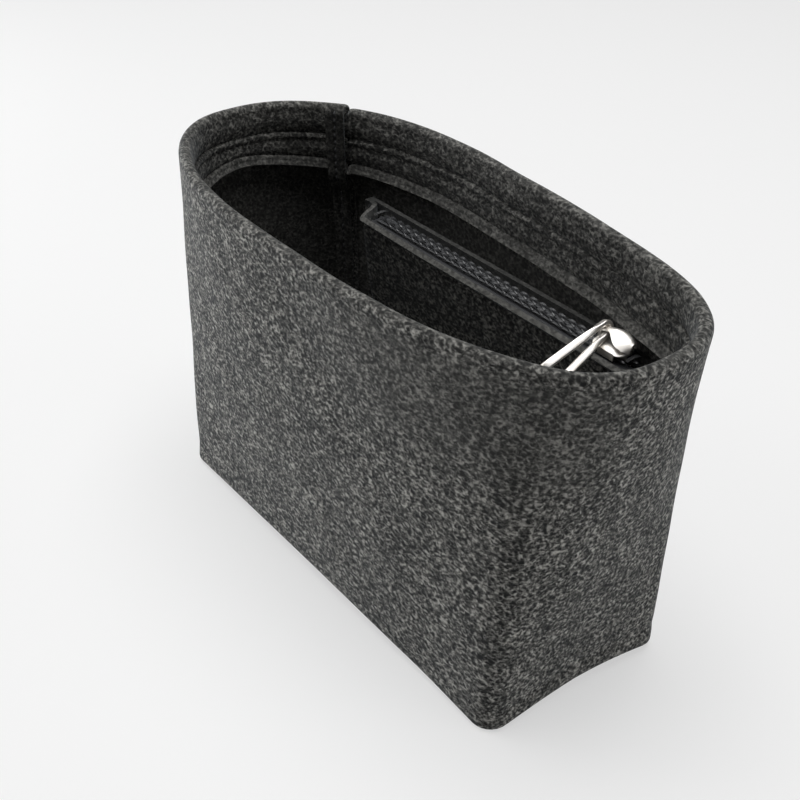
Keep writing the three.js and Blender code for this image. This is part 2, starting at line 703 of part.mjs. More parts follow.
function sliderBody() {
  const end = SLIDER_LENGTH / 2;
  const half = SLIDER_WIDTH / 2;
  const overlap = SLIDER_PLATE / 2;
  const flangeLow = TAPE_TOP + SLIDER_CLEARANCE;
  const neckHalf = COIL_GAP / 2 - SLIDER_CLEARANCE;
  const straight = end - SLIDER_WING_ROUND;
  const flange = (side) => {
    const [near, far] = [CHANNEL, half].map((y) => side * y).sort((a, b) => a - b);
    return block(-straight, straight, near, far, flangeLow, PLATE_UNDER + overlap);
  };
  const [neckLow, neckTop] = [PLATE_LOW + overlap, PLATE_TOP - overlap];
  const neckEnd = end - SLIDER_PLATE;
  const neck = block(neckEnd - SLIDER_NECK_LENGTH, neckEnd, -neckHalf, neckHalf, neckLow, neckTop);
  const post = (x, width) => {
    const [x0, x1] = [x - POST_LENGTH / 2, x + POST_LENGTH / 2];
    const top = Math.min(bridgeFace(x0, width / 2, -1), bridgeFace(x1, width / 2, -1)) - SEWN_GAP;
    return block(x0, x1, -width / 2, width / 2, PLATE_TOP - overlap, top);
  };
  const leftPost = post(-end + POST_LENGTH / 2, BRIDGE_STRAP_WIDTH);
  const rightPost = post(end - POST_LENGTH * 2, BRIDGE_DOME_WIDTH / 2);
  return joined(plate(PLATE_UNDER), plate(PLATE_LOW), flange(-1), flange(1), neck, leftPost, rightPost);
}

// The bridge: a narrow strap at the left that broadens into a dome
function sliderBridge() {
  const halfWidth = (x) => {
    const broad = smoothstep(x, PULL_X + PULL_THICKNESS, BRIDGE_LENGTH / 4);
    const rounding = 1 - smoothstep(x, BRIDGE_LENGTH / 4, BRIDGE_LENGTH * 0.75);
    return lerp(BRIDGE_STRAP_WIDTH / 2, (BRIDGE_DOME_WIDTH / 2) * rounding, broad);
  };
  const stepLength = BRIDGE_LENGTH / BRIDGE_STEPS;
  const xs = Array.from({ length: BRIDGE_STEPS + 1 }, (_, i) => BRIDGE_LEFT + i * stepLength);
  const across = Array.from({ length: BRIDGE_CROSS_STEPS + 1 }, (_, i) => (2 * i) / BRIDGE_CROSS_STEPS - 1);
  const face = (x, side) => across.map((t) => {
    const y = t * halfWidth(x);
    return new THREE.Vector3(x, y, bridgeFace(x, y, side));
  });
  return sheet(xs, (x) => face(x, 1), (x) => face(x, -1));
}

// The pull: a long open frame, round at the eye that holds the strap and broader at its free end
function framePath(path, radius, halfEnd, end) {
  path.moveTo(radius, 0);
  path.absarc(0, 0, radius, 0, Math.PI, false);
  path.lineTo(-halfEnd, halfEnd / 2 - end);
  path.quadraticCurveTo(-halfEnd, -end, -halfEnd / 2, -end);
  path.lineTo(halfEnd / 2, -end);
  path.quadraticCurveTo(halfEnd, -end, halfEnd, halfEnd / 2 - end);
  return path;
}

function pullTab() {
  const [eye, halfEnd] = [PULL_EYE / 2, PULL_END_WIDTH / 2];
  const frame = framePath(new THREE.Shape(), eye + PULL_EYE_LEG, halfEnd, PULL_LENGTH);
  frame.holes.push(framePath(new THREE.Path(), eye, halfEnd - PULL_END_LEG, PULL_LENGTH - PULL_END_LEG));
  const settings = { depth: PULL_THICKNESS, bevelEnabled: false, curveSegments: EYE_STEPS };
  return new THREE.ExtrudeGeometry(frame, settings).translate(0, 0, -PULL_THICKNESS / 2);
}

// Assembly
function piece(name, geometry, material) {
  const mesh = new THREE.Mesh(geometry, material);
  mesh.name = name;
  return mesh;
}

const organizer = new THREE.Group();
organizer.add(
  piece('wall_panel', wallPanel(), charcoalFelt),
  piece('base_panel', basePanel(), charcoalFelt),
  piece('hem_stitch_upper', hemRow(() => HEIGHT - UPPER_ROW_DEPTH), blackThread),
  piece('hem_stitch_lower', hemRow((share) => hemEdge(share) + HEM_LIP + THREAD), blackThread),
  piece('wall_seam_stitch', wallSeamRow(), blackThread),
  piece('base_seam_stitch', baseRow(), blackThread),
  piece('pocket_front_panel', pocketFrontPanel(), charcoalFelt),
  piece('pocket_back_panel', pocketBackPanel(), charcoalFelt),
  piece('pocket_stitch_left', pocketEndRow(LEFT_ROW), blackThread),
  piece('pocket_stitch_right', pocketEndRow(RIGHT_ROW), blackThread),
  piece('zip_tape_front', zipTape(-1), blackTape),
  piece('zip_tape_back', zipTape(1), blackTape),
  piece('zip_stitch_back', backTapeRow(), blackThread),
);

const frontRow = zipColumns().map((x) => [x, POCKET_TOP - TAPE_ROW_DEPTH]);
const bottomRow = zipColumns().map((x) => [x, POCKET_BOTTOM + POCKET_SEAM_ALLOWANCE / 2]);
organizer.add(
  piece('zip_stitch_front', pocketRow(frontRow), blackThread),
  piece('pocket_stitch_bottom', pocketRow(bottomRow), blackThread),
);

for (const [name, side] of [['zip_coil_front', -1], ['zip_coil_back', 1]]) {
  const coil = piece(name, zipCoil(), blackNylon);
  const inner = ZIP_Y + (side * COIL_GAP) / 2;
  coil.position.set(ZIP_LEFT, side < 0 ? inner - COIL_WIDTH : inner, TAPE_TOP + SEWN_GAP);
  organizer.add(coil);
}

const tacks = [['zip_tack_left', ZIP_LEFT + TACK_LENGTH], ['zip_tack_right', ZIP_RIGHT - TACK_LENGTH]];
for (const [name, x] of tacks) {
  const tack = piece(name, zipTack(), blackThread);
  tack.position.set(x, ZIP_Y, COIL_TOP + SEWN_GAP);
  organizer.add(tack);
}

const slider = new THREE.Group();
slider.position.set(ZIP_RIGHT - SLIDER_PARK, ZIP_Y, 0);
const pull = piece('pull_tab', pullTab(), silverMetal);
pull.position.set(PULL_X, 0, PIVOT_Z);
pull.rotation.set(0, Math.PI / 2 - strapSlope(PULL_X), PULL_DIP, 'YZX');
slider.add(piece('slider_body', sliderBody(), silverMetal));
slider.add(piece('slider_bridge', sliderBridge(), silverMetal));
slider.add(pull);
organizer.add(slider);

export default organizer;
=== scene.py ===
"""Purse organizer insert in charcoal felt, dressed for a studio picture.

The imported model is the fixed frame, in metres. Each operator makes one piece or one group of like
pieces in that frame, and main calls them in order.
"""

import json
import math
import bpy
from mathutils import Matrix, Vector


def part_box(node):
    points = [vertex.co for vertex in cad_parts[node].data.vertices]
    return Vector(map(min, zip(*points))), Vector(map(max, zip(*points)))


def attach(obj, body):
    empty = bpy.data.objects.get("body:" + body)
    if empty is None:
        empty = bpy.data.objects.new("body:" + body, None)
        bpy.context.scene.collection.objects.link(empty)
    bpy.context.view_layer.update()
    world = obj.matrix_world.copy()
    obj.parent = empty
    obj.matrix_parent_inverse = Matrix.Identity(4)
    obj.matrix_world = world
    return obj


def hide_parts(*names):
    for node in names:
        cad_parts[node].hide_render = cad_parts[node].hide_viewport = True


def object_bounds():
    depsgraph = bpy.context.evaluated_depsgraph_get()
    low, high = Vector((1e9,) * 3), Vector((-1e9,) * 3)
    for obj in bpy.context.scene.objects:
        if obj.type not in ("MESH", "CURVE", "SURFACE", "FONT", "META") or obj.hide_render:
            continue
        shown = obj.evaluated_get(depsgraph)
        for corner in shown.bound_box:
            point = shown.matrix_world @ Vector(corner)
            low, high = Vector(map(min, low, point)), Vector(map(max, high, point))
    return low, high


bl_info = {
    "name": "Purse organizer insert",
    "version": (1, 0, 0),
    "blender": (4, 5, 0),
    "location": "View3D > Sidebar > Organizer",
    "description": "Sews a felt purse organizer with a zip pocket round its packed model",
    "category": "Add Mesh",
}

from functools import partial

import bpy
import numpy as np
from bpy.props import FloatProperty, FloatVectorProperty, PointerProperty
from bpy.types import NodeSocket, Operator, Panel, PropertyGroup
from mathutils import Matrix, Vector

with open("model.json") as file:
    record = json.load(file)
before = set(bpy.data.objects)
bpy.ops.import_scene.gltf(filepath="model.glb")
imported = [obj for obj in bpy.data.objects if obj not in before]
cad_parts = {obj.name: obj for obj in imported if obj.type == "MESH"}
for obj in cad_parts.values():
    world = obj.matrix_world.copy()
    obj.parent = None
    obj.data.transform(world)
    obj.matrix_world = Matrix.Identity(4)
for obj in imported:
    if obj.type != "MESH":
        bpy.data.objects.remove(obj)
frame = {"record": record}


def corners(box):
    """A box's two corners as plain lists of numbers."""
    return [[float(value) for value in corner] for corner in box]


CAD_BOX = corners(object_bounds())
COIL_BOX = corners(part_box("zip_coil_front"))
SLIDER_BOX = corners(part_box("slider_body"))
POCKET_BOX = corners(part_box("pocket_back_panel"))
ZIP_Y = (SLIDER_BOX[0][1] + SLIDER_BOX[1][1]) / 2
PULL_JOINT = next(row for row in frame["record"]["behaviour"]["joints"] if row["name"] == "pull_swing")
POCKET_ALLOWANCE = 0.005

# The gap between two pieces that are sewn together
SEWN_GAP = 0.0003


def size(name, description, default):
    """A length that a user may change, in metres."""
    return FloatProperty(
        name=name, description=description, default=default, min=0, precision=5, unit="LENGTH"
    )


def share(name, description, default):
    """A plain number that a user may change."""
    return FloatProperty(name=name, description=description, default=default, min=0, precision=3)


def colour(name, description, default):
    """A linear colour that a user may change."""
    return FloatVectorProperty(
        name=name, description=description, default=default, min=0, max=1, size=3, subtype="COLOR"
    )


def spot(name, description, default):
    """A place that a user may change, in metres."""
    return FloatVectorProperty(name=name, description=description, default=default, size=3, subtype="XYZ")


class PouchSettings(PropertyGroup):
    """Sizes of the felt pouch."""

    base_length: size("Base length", "Length of the base outline", 0.2)
    base_depth: size("Base depth", "Depth of the base outline", 0.088)
    corner: size("Corner radius", "Radius of the base's corners", 0.008)
    height: size("Height", "Height of the rim", CAD_BOX[1][2])
    mouth_length: size("Mouth length", "Length of the open mouth", 0.239)
    mouth_depth: size("Mouth depth", "Depth of the open mouth", 0.101)
    squareness: share("Mouth squareness", "2 is an ellipse, and more is squarer", 2.44)
    flare: share("Flare", "How late the wall leans out; 1 is an even lean", 0.55)
    end_flare: share("End flare", "How late the right-hand end leans out; 1 is an even lean", 1.2)
    lift_long: size("Long edge lift", "Height of the middle of a long bottom edge", 0.0037)
    lift_short: size("Short edge lift", "Height of the middle of a short bottom edge", 0.0038)
    end_bow: size("End bow", "How far the base's right-hand end bows inward", 0.0008)
    corner_tuck: size("Corner tuck", "How far the base's left-hand front corner is tucked inward", 0.0028)
    slip_forward: size("Corner slip", "How far the right-hand back corner has slipped forward", 0.0095)
    slip_right: size("Corner spread", "How far the right-hand back corner has slipped outward", 0.0042)
    bulge: size("Back bulge", "How far the mouth bulges at the back", 0.0066)
    mouth_spread: size("Mouth spread", "How far the mouth's right-hand back corner spreads", 0.0016)
    felt: size("Felt", "Thickness of the felt", 0.0022)
    hem_end: size("Hem at the ends", "Depth of the folded hem at the pouch's ends", 0.0235)
    hem_side: size("Hem at the sides", "Depth of the folded hem along the pouch's sides", 0.027)
    hem_lip: size("Hem lip", "Felt below the hem's lower stitches", 0.003)
    upper_row: size("Upper row", "Depth of the hem's upper stitches below the rim", 0.012)
    allowance: size("Seam allowance", "Felt turned in over the base", 0.005)
    turned_end: size("Turned end", "Width of the wall strip's turned-over end", 0.008)
    seam_shift: size("Seam shift", "Distance of the wall's seam from the left-hand back corner", 0.0045)


class PocketSettings(PropertyGroup):
    """Sizes of the zip pocket."""

    left: size("Left end", "How far the pocket reaches to the left", -POCKET_BOX[0][0] - POCKET_ALLOWANCE)
    right: size("Right end", "How far the pocket reaches to the right", POCKET_BOX[1][0] - POCKET_ALLOWANCE)
    bottom: size("Bottom", "Height of the pocket's lower edge", POCKET_BOX[0][2])
    top: size("Top", "Height of the pocket's mouth", POCKET_BOX[1][2])
    felt: size("Felt", "Thickness of the pocket's felt", 0.002)
    allowance: size("Seam allowance", "Felt outside the pocket's seams", POCKET_ALLOWANCE)
    curl: size("End curl", "Length over which the front panel curls back to its seam", 0.009)
    taper: share("Taper", "How the belly of the pocket thins towards its bottom", 1.3)
    half_gap: size("Half gap", "Half the distance between the panels at the mouth", 0.0055)


class ZipSettings(PropertyGroup):
    """Sizes of the zip and of its stitches."""

    pitch: size("Coil pitch", "Distance between two turns of the coil", 0.0048)
    lean: size("Coil lean", "How far along the zip a turn leans", 0.0088)
    filament: size("Filament", "Thickness of the coil's nylon", 0.00115)
    tape: size("Tape", "Thickness of the woven tape", 0.0006)
    turn: size("Tape turn", "How far the tape hangs down behind the felt", 0.008)
    thread: size("Thread", "Thickness of the sewing thread", 0.0007)
    stitch: size("Stitch", "Length of one stitch", 0.0031)


class FinishSettings(PropertyGroup):
    """Colours of the felt, the thread, the zip and the metal."""

    # felt_dark is also the colour that painted shade darkens the felt towards
    felt_dark: colour("Felt shade", "Darkest fibres of the felt", (0.0115, 0.0118, 0.0118))
    felt_mid: colour("Felt", "Main colour of the felt", (0.072, 0.0712, 0.067))
    felt_light: colour("Felt fleck", "Lightest fibres of the felt", (0.46, 0.452, 0.42))
    thread: colour("Thread", "Colour of the sewing thread", (0.014, 0.0145, 0.0155))
    tape: colour("Tape", "Colour of the zip's tape", (0.011, 0.0115, 0.013))
    coil: colour("Coil", "Colour of the zip's nylon coil", (0.036, 0.037, 0.039))
    metal: colour("Metal", "Colour of the slider and the pull", (0.83, 0.805, 0.77))
    floor: colour("Floor", "Colour of the floor", (0.9, 0.9, 0.9))


class StageSettings(PropertyGroup):
    """Camera and light."""

    eye: spot("Eye", "Place of the camera", (0.2870, -0.2238, 0.3138))
    target: spot("Target", "What the camera looks at", (-0.0005, -0.0030, 0.0647))
    lens: FloatProperty(name="Lens", description="Focal length in millimetres", default=53.09, min=1)
    world: share("World", "Strength of the light from all round", 0.01)
    lamps: share("Lamps", "Strength of the lamps", 1.0)


# The form of the pouch

# Where the back of the mouth bulges and where it is hollow, and the gap between the hem's two plies
BULGE_X, BULGE_WIDTH = -0.052, 0.052
HOLLOW, HOLLOW_X, HOLLOW_WIDTH = 0.0012, 0.036, 0.034
HEM_PLY_GAP = 0.0004


def smooth(value, low, high):
    """From 0 at low to 1 at high, level at both."""
    t = np.clip((value - low) / (high - low), 0, 1)
    return t * t * (3 - 2 * t)


def dip(distance, width):
    """A soft bell round distance zero."""
    return np.exp(-((distance / width) ** 2))


def arch(t):
    """From 0 at -1 up to 1 at 0, and down to 0 at 1."""
    return np.cos(math.pi * np.clip(t, -1, 1) / 2)


def ripple(a, b, seed):
    """A slow unevenness between about -1 and 1, over two running lengths in metres."""
    rng = np.random.default_rng(seed)
    total = np.zeros(np.broadcast(a, b).shape)
    for wave in (0.021, 0.037, 0.055, 0.09, 0.14):
        turn, phase = rng.uniform(0, 2 * math.pi, 2)
        total = total + wave * np.sin((a * math.cos(turn) + b * math.sin(turn)) * 2 * math.pi / wave + phase)
    return total / 0.2


def upright(plan):
    """Directions in plan as directions in space."""
    return np.column_stack([plan, np.zeros(len(plan))])


class Outline:
    """A closed line measured by the share of its length."""

    def __init__(self, points):
        self.points = np.vstack([points, points[:1]])
        steps = np.linalg.norm(np.diff(self.points, axis=0), axis=1)
        self.length = float(steps.sum())
        self.shares = np.concatenate([[0], np.cumsum(steps)]) / self.length

    def at(self, place):
        """The points at these shares."""
        place = np.asarray(place) % 1
        return np.stack([np.interp(place, self.shares, self.points[:, axis]) for axis in (0, 1)], -1)


class PouchForm:
    """The pouch's wall: a share round the pouch, a height and an inset give a point."""

    def __init__(self, pouch):
        self.pouch = pouch
        self.half = np.array([pouch.base_length, pouch.base_depth]) / 2
        self.straight = self.half - pouch.corner
        self.base = Outline(self.base_points())
        self.mouth = Outline(self.mouth_points())
        self.fold_radius = pouch.felt + HEM_PLY_GAP / 2
        self.fold_z = pouch.height - self.fold_radius
        self.hem_face = 2 * self.fold_radius
        self.foot_top = 2 * pouch.felt + SEWN_GAP
        self.seam = self.share_of((-self.straight[0], self.half[1])) - pouch.seam_shift / self.base.length
        self.back_levels = np.linspace(0, pouch.height, 61)
        self.back_x = np.linspace(-0.104, 0.104, 209)
        self.back_table = self.back_depths()

    def base_points(self):
        """The base outline from the middle of its right end, anticlockwise."""
        rows = [np.array([[self.half[0], 0.0]])]
        for quarter, (side_x, side_y) in enumerate([(1, 1), (-1, 1), (-1, -1), (1, -1)]):
            angle = np.linspace(0, math.pi / 2, 65) + quarter * math.pi / 2
            arc = np.stack([np.cos(angle), np.sin(angle)], -1) * self.pouch.corner
            rows.append(arc + self.straight * np.array([side_x, side_y]))
        return self.skewed(np.vstack(rows))

    def skewed(self, plan):
        """The base as it stands: one back corner slipped, one front corner tucked in, one end bowed in."""
        pouch = self.pouch
        along, across = plan[:, 0] / self.half[0], plan[:, 1] / self.half[1]
        slipped = smooth(along, 0, 1) * smooth(across, -1, 1)
        bowed = smooth(along, 0.5, 1) * arch(across)
        tucked = smooth(-along, 0.5, 1) * smooth(-across, 0.2, 1)
        offset_x = pouch.slip_right * slipped - pouch.end_bow * bowed + pouch.corner_tuck * tucked
        return plan + np.stack([offset_x, -pouch.slip_forward * slipped], -1)

    def mouth_points(self):
        """The mouth as it hangs open: a squarish ellipse that bulges at the back and at one corner."""
        pouch = self.pouch
        angle = np.linspace(0, 2 * math.pi, 2880, endpoint=False)
        ray = np.stack([np.cos(angle), np.sin(angle)], -1)
        bend = np.sign(ray) * np.abs(ray) ** (2 / pouch.squareness)
        plan = bend * np.array([pouch.mouth_length, pouch.mouth_depth]) / 2
        x, y = plan[:, 0], plan[:, 1]
        back = pouch.bulge * dip(x - BULGE_X, BULGE_WIDTH) - HOLLOW * dip(x - HOLLOW_X, HOLLOW_WIDTH)
        corner = pouch.mouth_spread * smooth(x, 0.07, 0.1) * smooth(y, -0.01, 0.025)
        return plan + np.stack([np.zeros_like(x), back * smooth(y, 0, 0.045) + corner], -1)

    def share_of(self, point):
        """The share of the base outline nearest to a point."""
        nearest = np.argmin(np.linalg.norm(self.base.points - np.array(point), axis=1))
        return float(self.base.shares[nearest])

    def face(self, place, z):
        """The outer face of the wall, in plan."""
        pouch = self.pouch
        x, y = np.moveaxis(self.base.at(place), -1, 0)
        lift = self.end_lift(x, y)
        lean = pouch.flare + (pouch.end_flare - pouch.flare) * smooth(x, self.half[0] / 2, self.straight[0])
        rise = (np.maximum(z - lift, 0) / (pouch.height - lift)) ** lean
        rise = np.broadcast_to(np.asarray(rise)[..., None], np.broadcast(place, z).shape + (1,))
        return self.base.at(place) * (1 - rise) + self.mouth.at(place) * rise

    def inward(self, place, z):
        """The direction into the pouch, in plan."""
        along = self.face(place + 1e-3, z) - self.face(place - 1e-3, z)
        along = along / np.linalg.norm(along, axis=-1, keepdims=True)
        return np.stack([-along[..., 1], along[..., 0]], -1)

    def wall(self, place, z, inset, face_z=None):
        """A point of the wall that lies this far inside the outer face."""
        level = z if face_z is None else face_z
        plan = self.face(place, level) + self.inward(place, level) * np.asarray(inset)[..., None]
        return np.concatenate([plan, np.broadcast_to(np.asarray(z)[..., None], plan.shape[:-1] + (1,))], -1)

    def end_lift(self, x, y):
        """How far the bottom edge of an end stands off the ground."""
        return (np.abs(x) > self.straight[0]) * self.pouch.lift_short * arch(y / self.straight[1])

    def lift(self, place):
        """How far the bottom edge stands off the ground."""
        x, y = np.moveaxis(self.base.at(place), -1, 0)
        on_side = np.abs(x) < self.straight[0]
        return on_side * self.pouch.lift_long * arch(x / self.straight[0]) + self.end_lift(x, y)

    def hem_edge(self, place):
        """The height of the hem's lower edge."""
        sideways = np.abs(self.inward(place, np.full(np.shape(place), self.pouch.height))[..., 1])
        return self.pouch.height - self.pouch.hem_end * (1 - sideways) - self.pouch.hem_side * sideways

    def back_depths(self):
        """The inner face of the back wall as a table of depths by height and length."""
        places = np.linspace(0, 0.5, 400)
        rows = []
        for level in self.back_levels:
            points = self.wall(places, np.full(places.shape, level), self.pouch.felt)
            order = np.argsort(points[:, 0])
            rows.append(np.interp(self.back_x, points[order, 0], points[order, 1]))
        return np.array(rows)

    def back(self, x, z):
        """The depth of the inner face of the back wall."""
        row = np.clip(z / self.back_levels[1], 0, len(self.back_levels) - 1.001)
        pitch = self.back_x[1] - self.back_x[0]
        column = np.clip((x - self.back_x[0]) / pitch, 0, len(self.back_x) - 1.001)
        i, j = row.astype(int), column.astype(int)
        s, t = row - i, column - j
        low = self.back_table[i, j] * (1 - t) + self.back_table[i, j + 1] * t
        high = self.back_table[i + 1, j] * (1 - t) + self.back_table[i + 1, j + 1] * t
        return low * (1 - s) + high * s


class PocketForm:
    """The pocket's two panels: a length and a height give a depth."""

    def __init__(self, scene):
        self.pocket = pocket = scene.organizer_pocket
        self.form = PouchForm(scene.organizer_pouch)
        self.seam_z = pocket.bottom + pocket.allowance
        self.zip_left = pocket.curl - pocket.left
        self.zip_right = pocket.right - pocket.curl
        self.tape_top = COIL_BOX[0][2] - SEWN_GAP

    def rear(self, x, z):
        """The rear face of the back panel."""
        pocket = self.pocket
        at_top = ZIP_Y + pocket.half_gap + pocket.felt
        at_bottom = self.form.back(np.zeros(1), np.full(1, pocket.bottom))[0] - SEWN_GAP
        t = (z - pocket.bottom) / (pocket.top - pocket.bottom)
        return np.minimum(at_bottom * (1 - t) + at_top * t, self.form.back(x, z) - SEWN_GAP)

    def back_face(self, x, z):
        """The front face of the back panel."""
        return self.rear(x, z) - self.pocket.felt

    def inside(self, x):
        """1 between the ends of the zip, and 0 at the pocket's end seams."""
        left = smooth(x, -self.pocket.left, self.zip_left)
        return left * (1 - smooth(x, self.zip_right, self.pocket.right))

    def front(self, x, z):
        """The middle of the front panel."""
        pocket = self.pocket
        seam = self.back_face(x, z) - SEWN_GAP - pocket.felt / 2
        rise = np.clip((z - self.seam_z) / (pocket.top - self.seam_z), 0, 1)
        at_top = ZIP_Y - pocket.half_gap - pocket.felt / 2
        at_bottom = self.back_face(np.zeros(1), np.full(1, pocket.bottom))[0] - SEWN_GAP - pocket.felt / 2
        sag = (1 - rise) ** pocket.taper
        belly = np.minimum(at_top * (1 - sag) + at_bottom * sag, seam)
        inside = self.inside(x)
        return seam * (1 - inside) + belly * inside

    def off_felt(self, side, x, z, distance):
        """The depth at a sewn gap and this distance off the front or the back panel, inside the pocket."""
        if side < 0:
            return self.front(x, z) + self.pocket.felt / 2 + SEWN_GAP + distance
        return self.back_face(x, z) - SEWN_GAP - distance


# Making and finishing pieces


def only(*pieces):
    """Selects just these pieces, with the first one active."""
    bpy.ops.object.select_all(action="DESELECT")
    for piece in pieces:
        piece.select_set(True)
    if pieces:
        bpy.context.view_layer.objects.active = pieces[0]


def added(name, operator, **settings):
    """A new primitive."""
    only()
    operator(**settings)
    bpy.context.object.name = name
    return bpy.context.object


def edit(piece, *steps):
    """Runs each mesh operator on the whole piece."""
    only(piece)
    bpy.ops.object.mode_set(mode="EDIT")
    for step in steps:
        bpy.ops.mesh.select_all(action="SELECT")
        step()
    bpy.ops.object.mode_set(mode="OBJECT")


def points_of(piece):
    """The piece's points as rows of x, y and z."""
    flat = np.empty(len(piece.data.vertices) * 3)
    piece.data.vertices.foreach_get("co", flat)
    return flat.reshape(-1, 3)


def move_points(piece, points):
    """Puts the piece's points at these places."""
    piece.data.vertices.foreach_set("co", np.ascontiguousarray(points, dtype=np.float64).ravel())
    piece.data.update()


def grid_piece(name, columns, rows, place, **marks):
    """A grid whose points go where place puts their two shares, from 0 to 1.

    Each mark gives a number for every point, which the piece keeps under the mark's name.
    """
    piece = added(name, bpy.ops.mesh.primitive_grid_add, x_subdivisions=columns, y_subdivisions=rows, size=1)
    flat = points_of(piece)[:, :2] + 0.5
    move_points(piece, place(flat[:, 0], flat[:, 1]))
    for key, value in marks.items():
        mark(piece, key, value(flat[:, 0], flat[:, 1]))
    return piece


def torus_piece(name, segments, minor_segments):
    """A thin ring, with each point's angle round it and its place in the section, from -1 to 1."""
    thin = 0.1
    piece = added(
        name, bpy.ops.mesh.primitive_torus_add, major_segments=segments, minor_segments=minor_segments,
        major_radius=1, minor_radius=thin, location=(0, 0, 0),
    )
    points = points_of(piece)
    angle = np.arctan2(points[:, 1], points[:, 0])
    out = np.linalg.norm(points[:, :2], axis=1) - 1
    return piece, angle, np.stack([out, points[:, 2]], -1) / thin


def mark(piece, name, values):
    """Keeps a number for every point of the piece under this name."""
    attribute = piece.data.attributes.get(name) or piece.data.attributes.new(name, "FLOAT", "POINT")
    attribute.data.foreach_set("value", np.ascontiguousarray(values, dtype=np.float32))


def marks_of(piece, name):
    """The numbers that the piece's points keep under this name."""
    values = np.empty(len(piece.data.vertices), dtype=np.float32)
    piece.data.attributes[name].data.foreach_get("value", values)
    return values


def apply_modifier(piece, kind, **settings):
    """Adds a modifier with these settings and applies it."""
    only(piece)
    modifier = piece.modifiers.new(kind.lower(), kind)
    for key, value in settings.items():
        setattr(modifier, key, value)
    bpy.ops.object.modifier_apply(modifier=modifier.name)


def thicken(piece, thickness):
    """Gives a sheet its thickness on both sides."""
    apply_modifier(piece, "SOLIDIFY", thickness=thickness, offset=0, use_rim=True)


def round_edges(piece, width, segments):
    """Rounds the piece's sharp edges."""
    sharp = math.radians(60)
    apply_modifier(piece, "BEVEL", width=width, segments=segments, limit_method="ANGLE", angle_limit=sharp)


def outward(piece):
    """Merges double points and turns the faces outwards."""
    merge = partial(bpy.ops.mesh.remove_doubles, threshold=1e-7)
    edit(piece, merge, partial(bpy.ops.mesh.normals_make_consistent, inside=False))


def smooth_shade(piece, degrees=50):
    """Shades smoothly across all but the sharper edges."""
    only(piece)
    bpy.ops.object.shade_smooth_by_angle(angle=math.radians(degrees))


def join(pieces, name):
    """Joins pieces into the first."""
    only(*pieces)
    bpy.ops.object.join()
    pieces[0].name = name
    return pieces[0]


def copies(pattern, name, places):
    """One piece made of copies of a pattern, each turned and moved by its own matrix."""
    points = points_of(pattern)
    faces = [list(polygon.vertices) for polygon in pattern.data.polygons]
    all_points = []
    all_faces = []
    for i, place in enumerate(places):
        matrix = np.array(place)
        all_points.append(points @ matrix[:3, :3].T + matrix[:3, 3])
        all_faces.extend([[corner + i * len(points) for corner in face] for face in faces])
    mesh = bpy.data.meshes.new(name)
    mesh.from_pydata(np.vstack(all_points).tolist(), [], all_faces)
    mesh.update()
    piece = bpy.data.objects.new(name, mesh)
    bpy.context.collection.objects.link(piece)
    bpy.data.objects.remove(pattern)
    return piece


def dress(piece, slot, body, node):
    """Gives the piece its finish and its body, and hides the imported part that it stands for."""
    piece.data.materials.clear()
    piece.data.materials.append(FINISHES[slot](bpy.context.scene.organizer_finish))
    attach(piece, body)
    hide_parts(node)


# Finishes


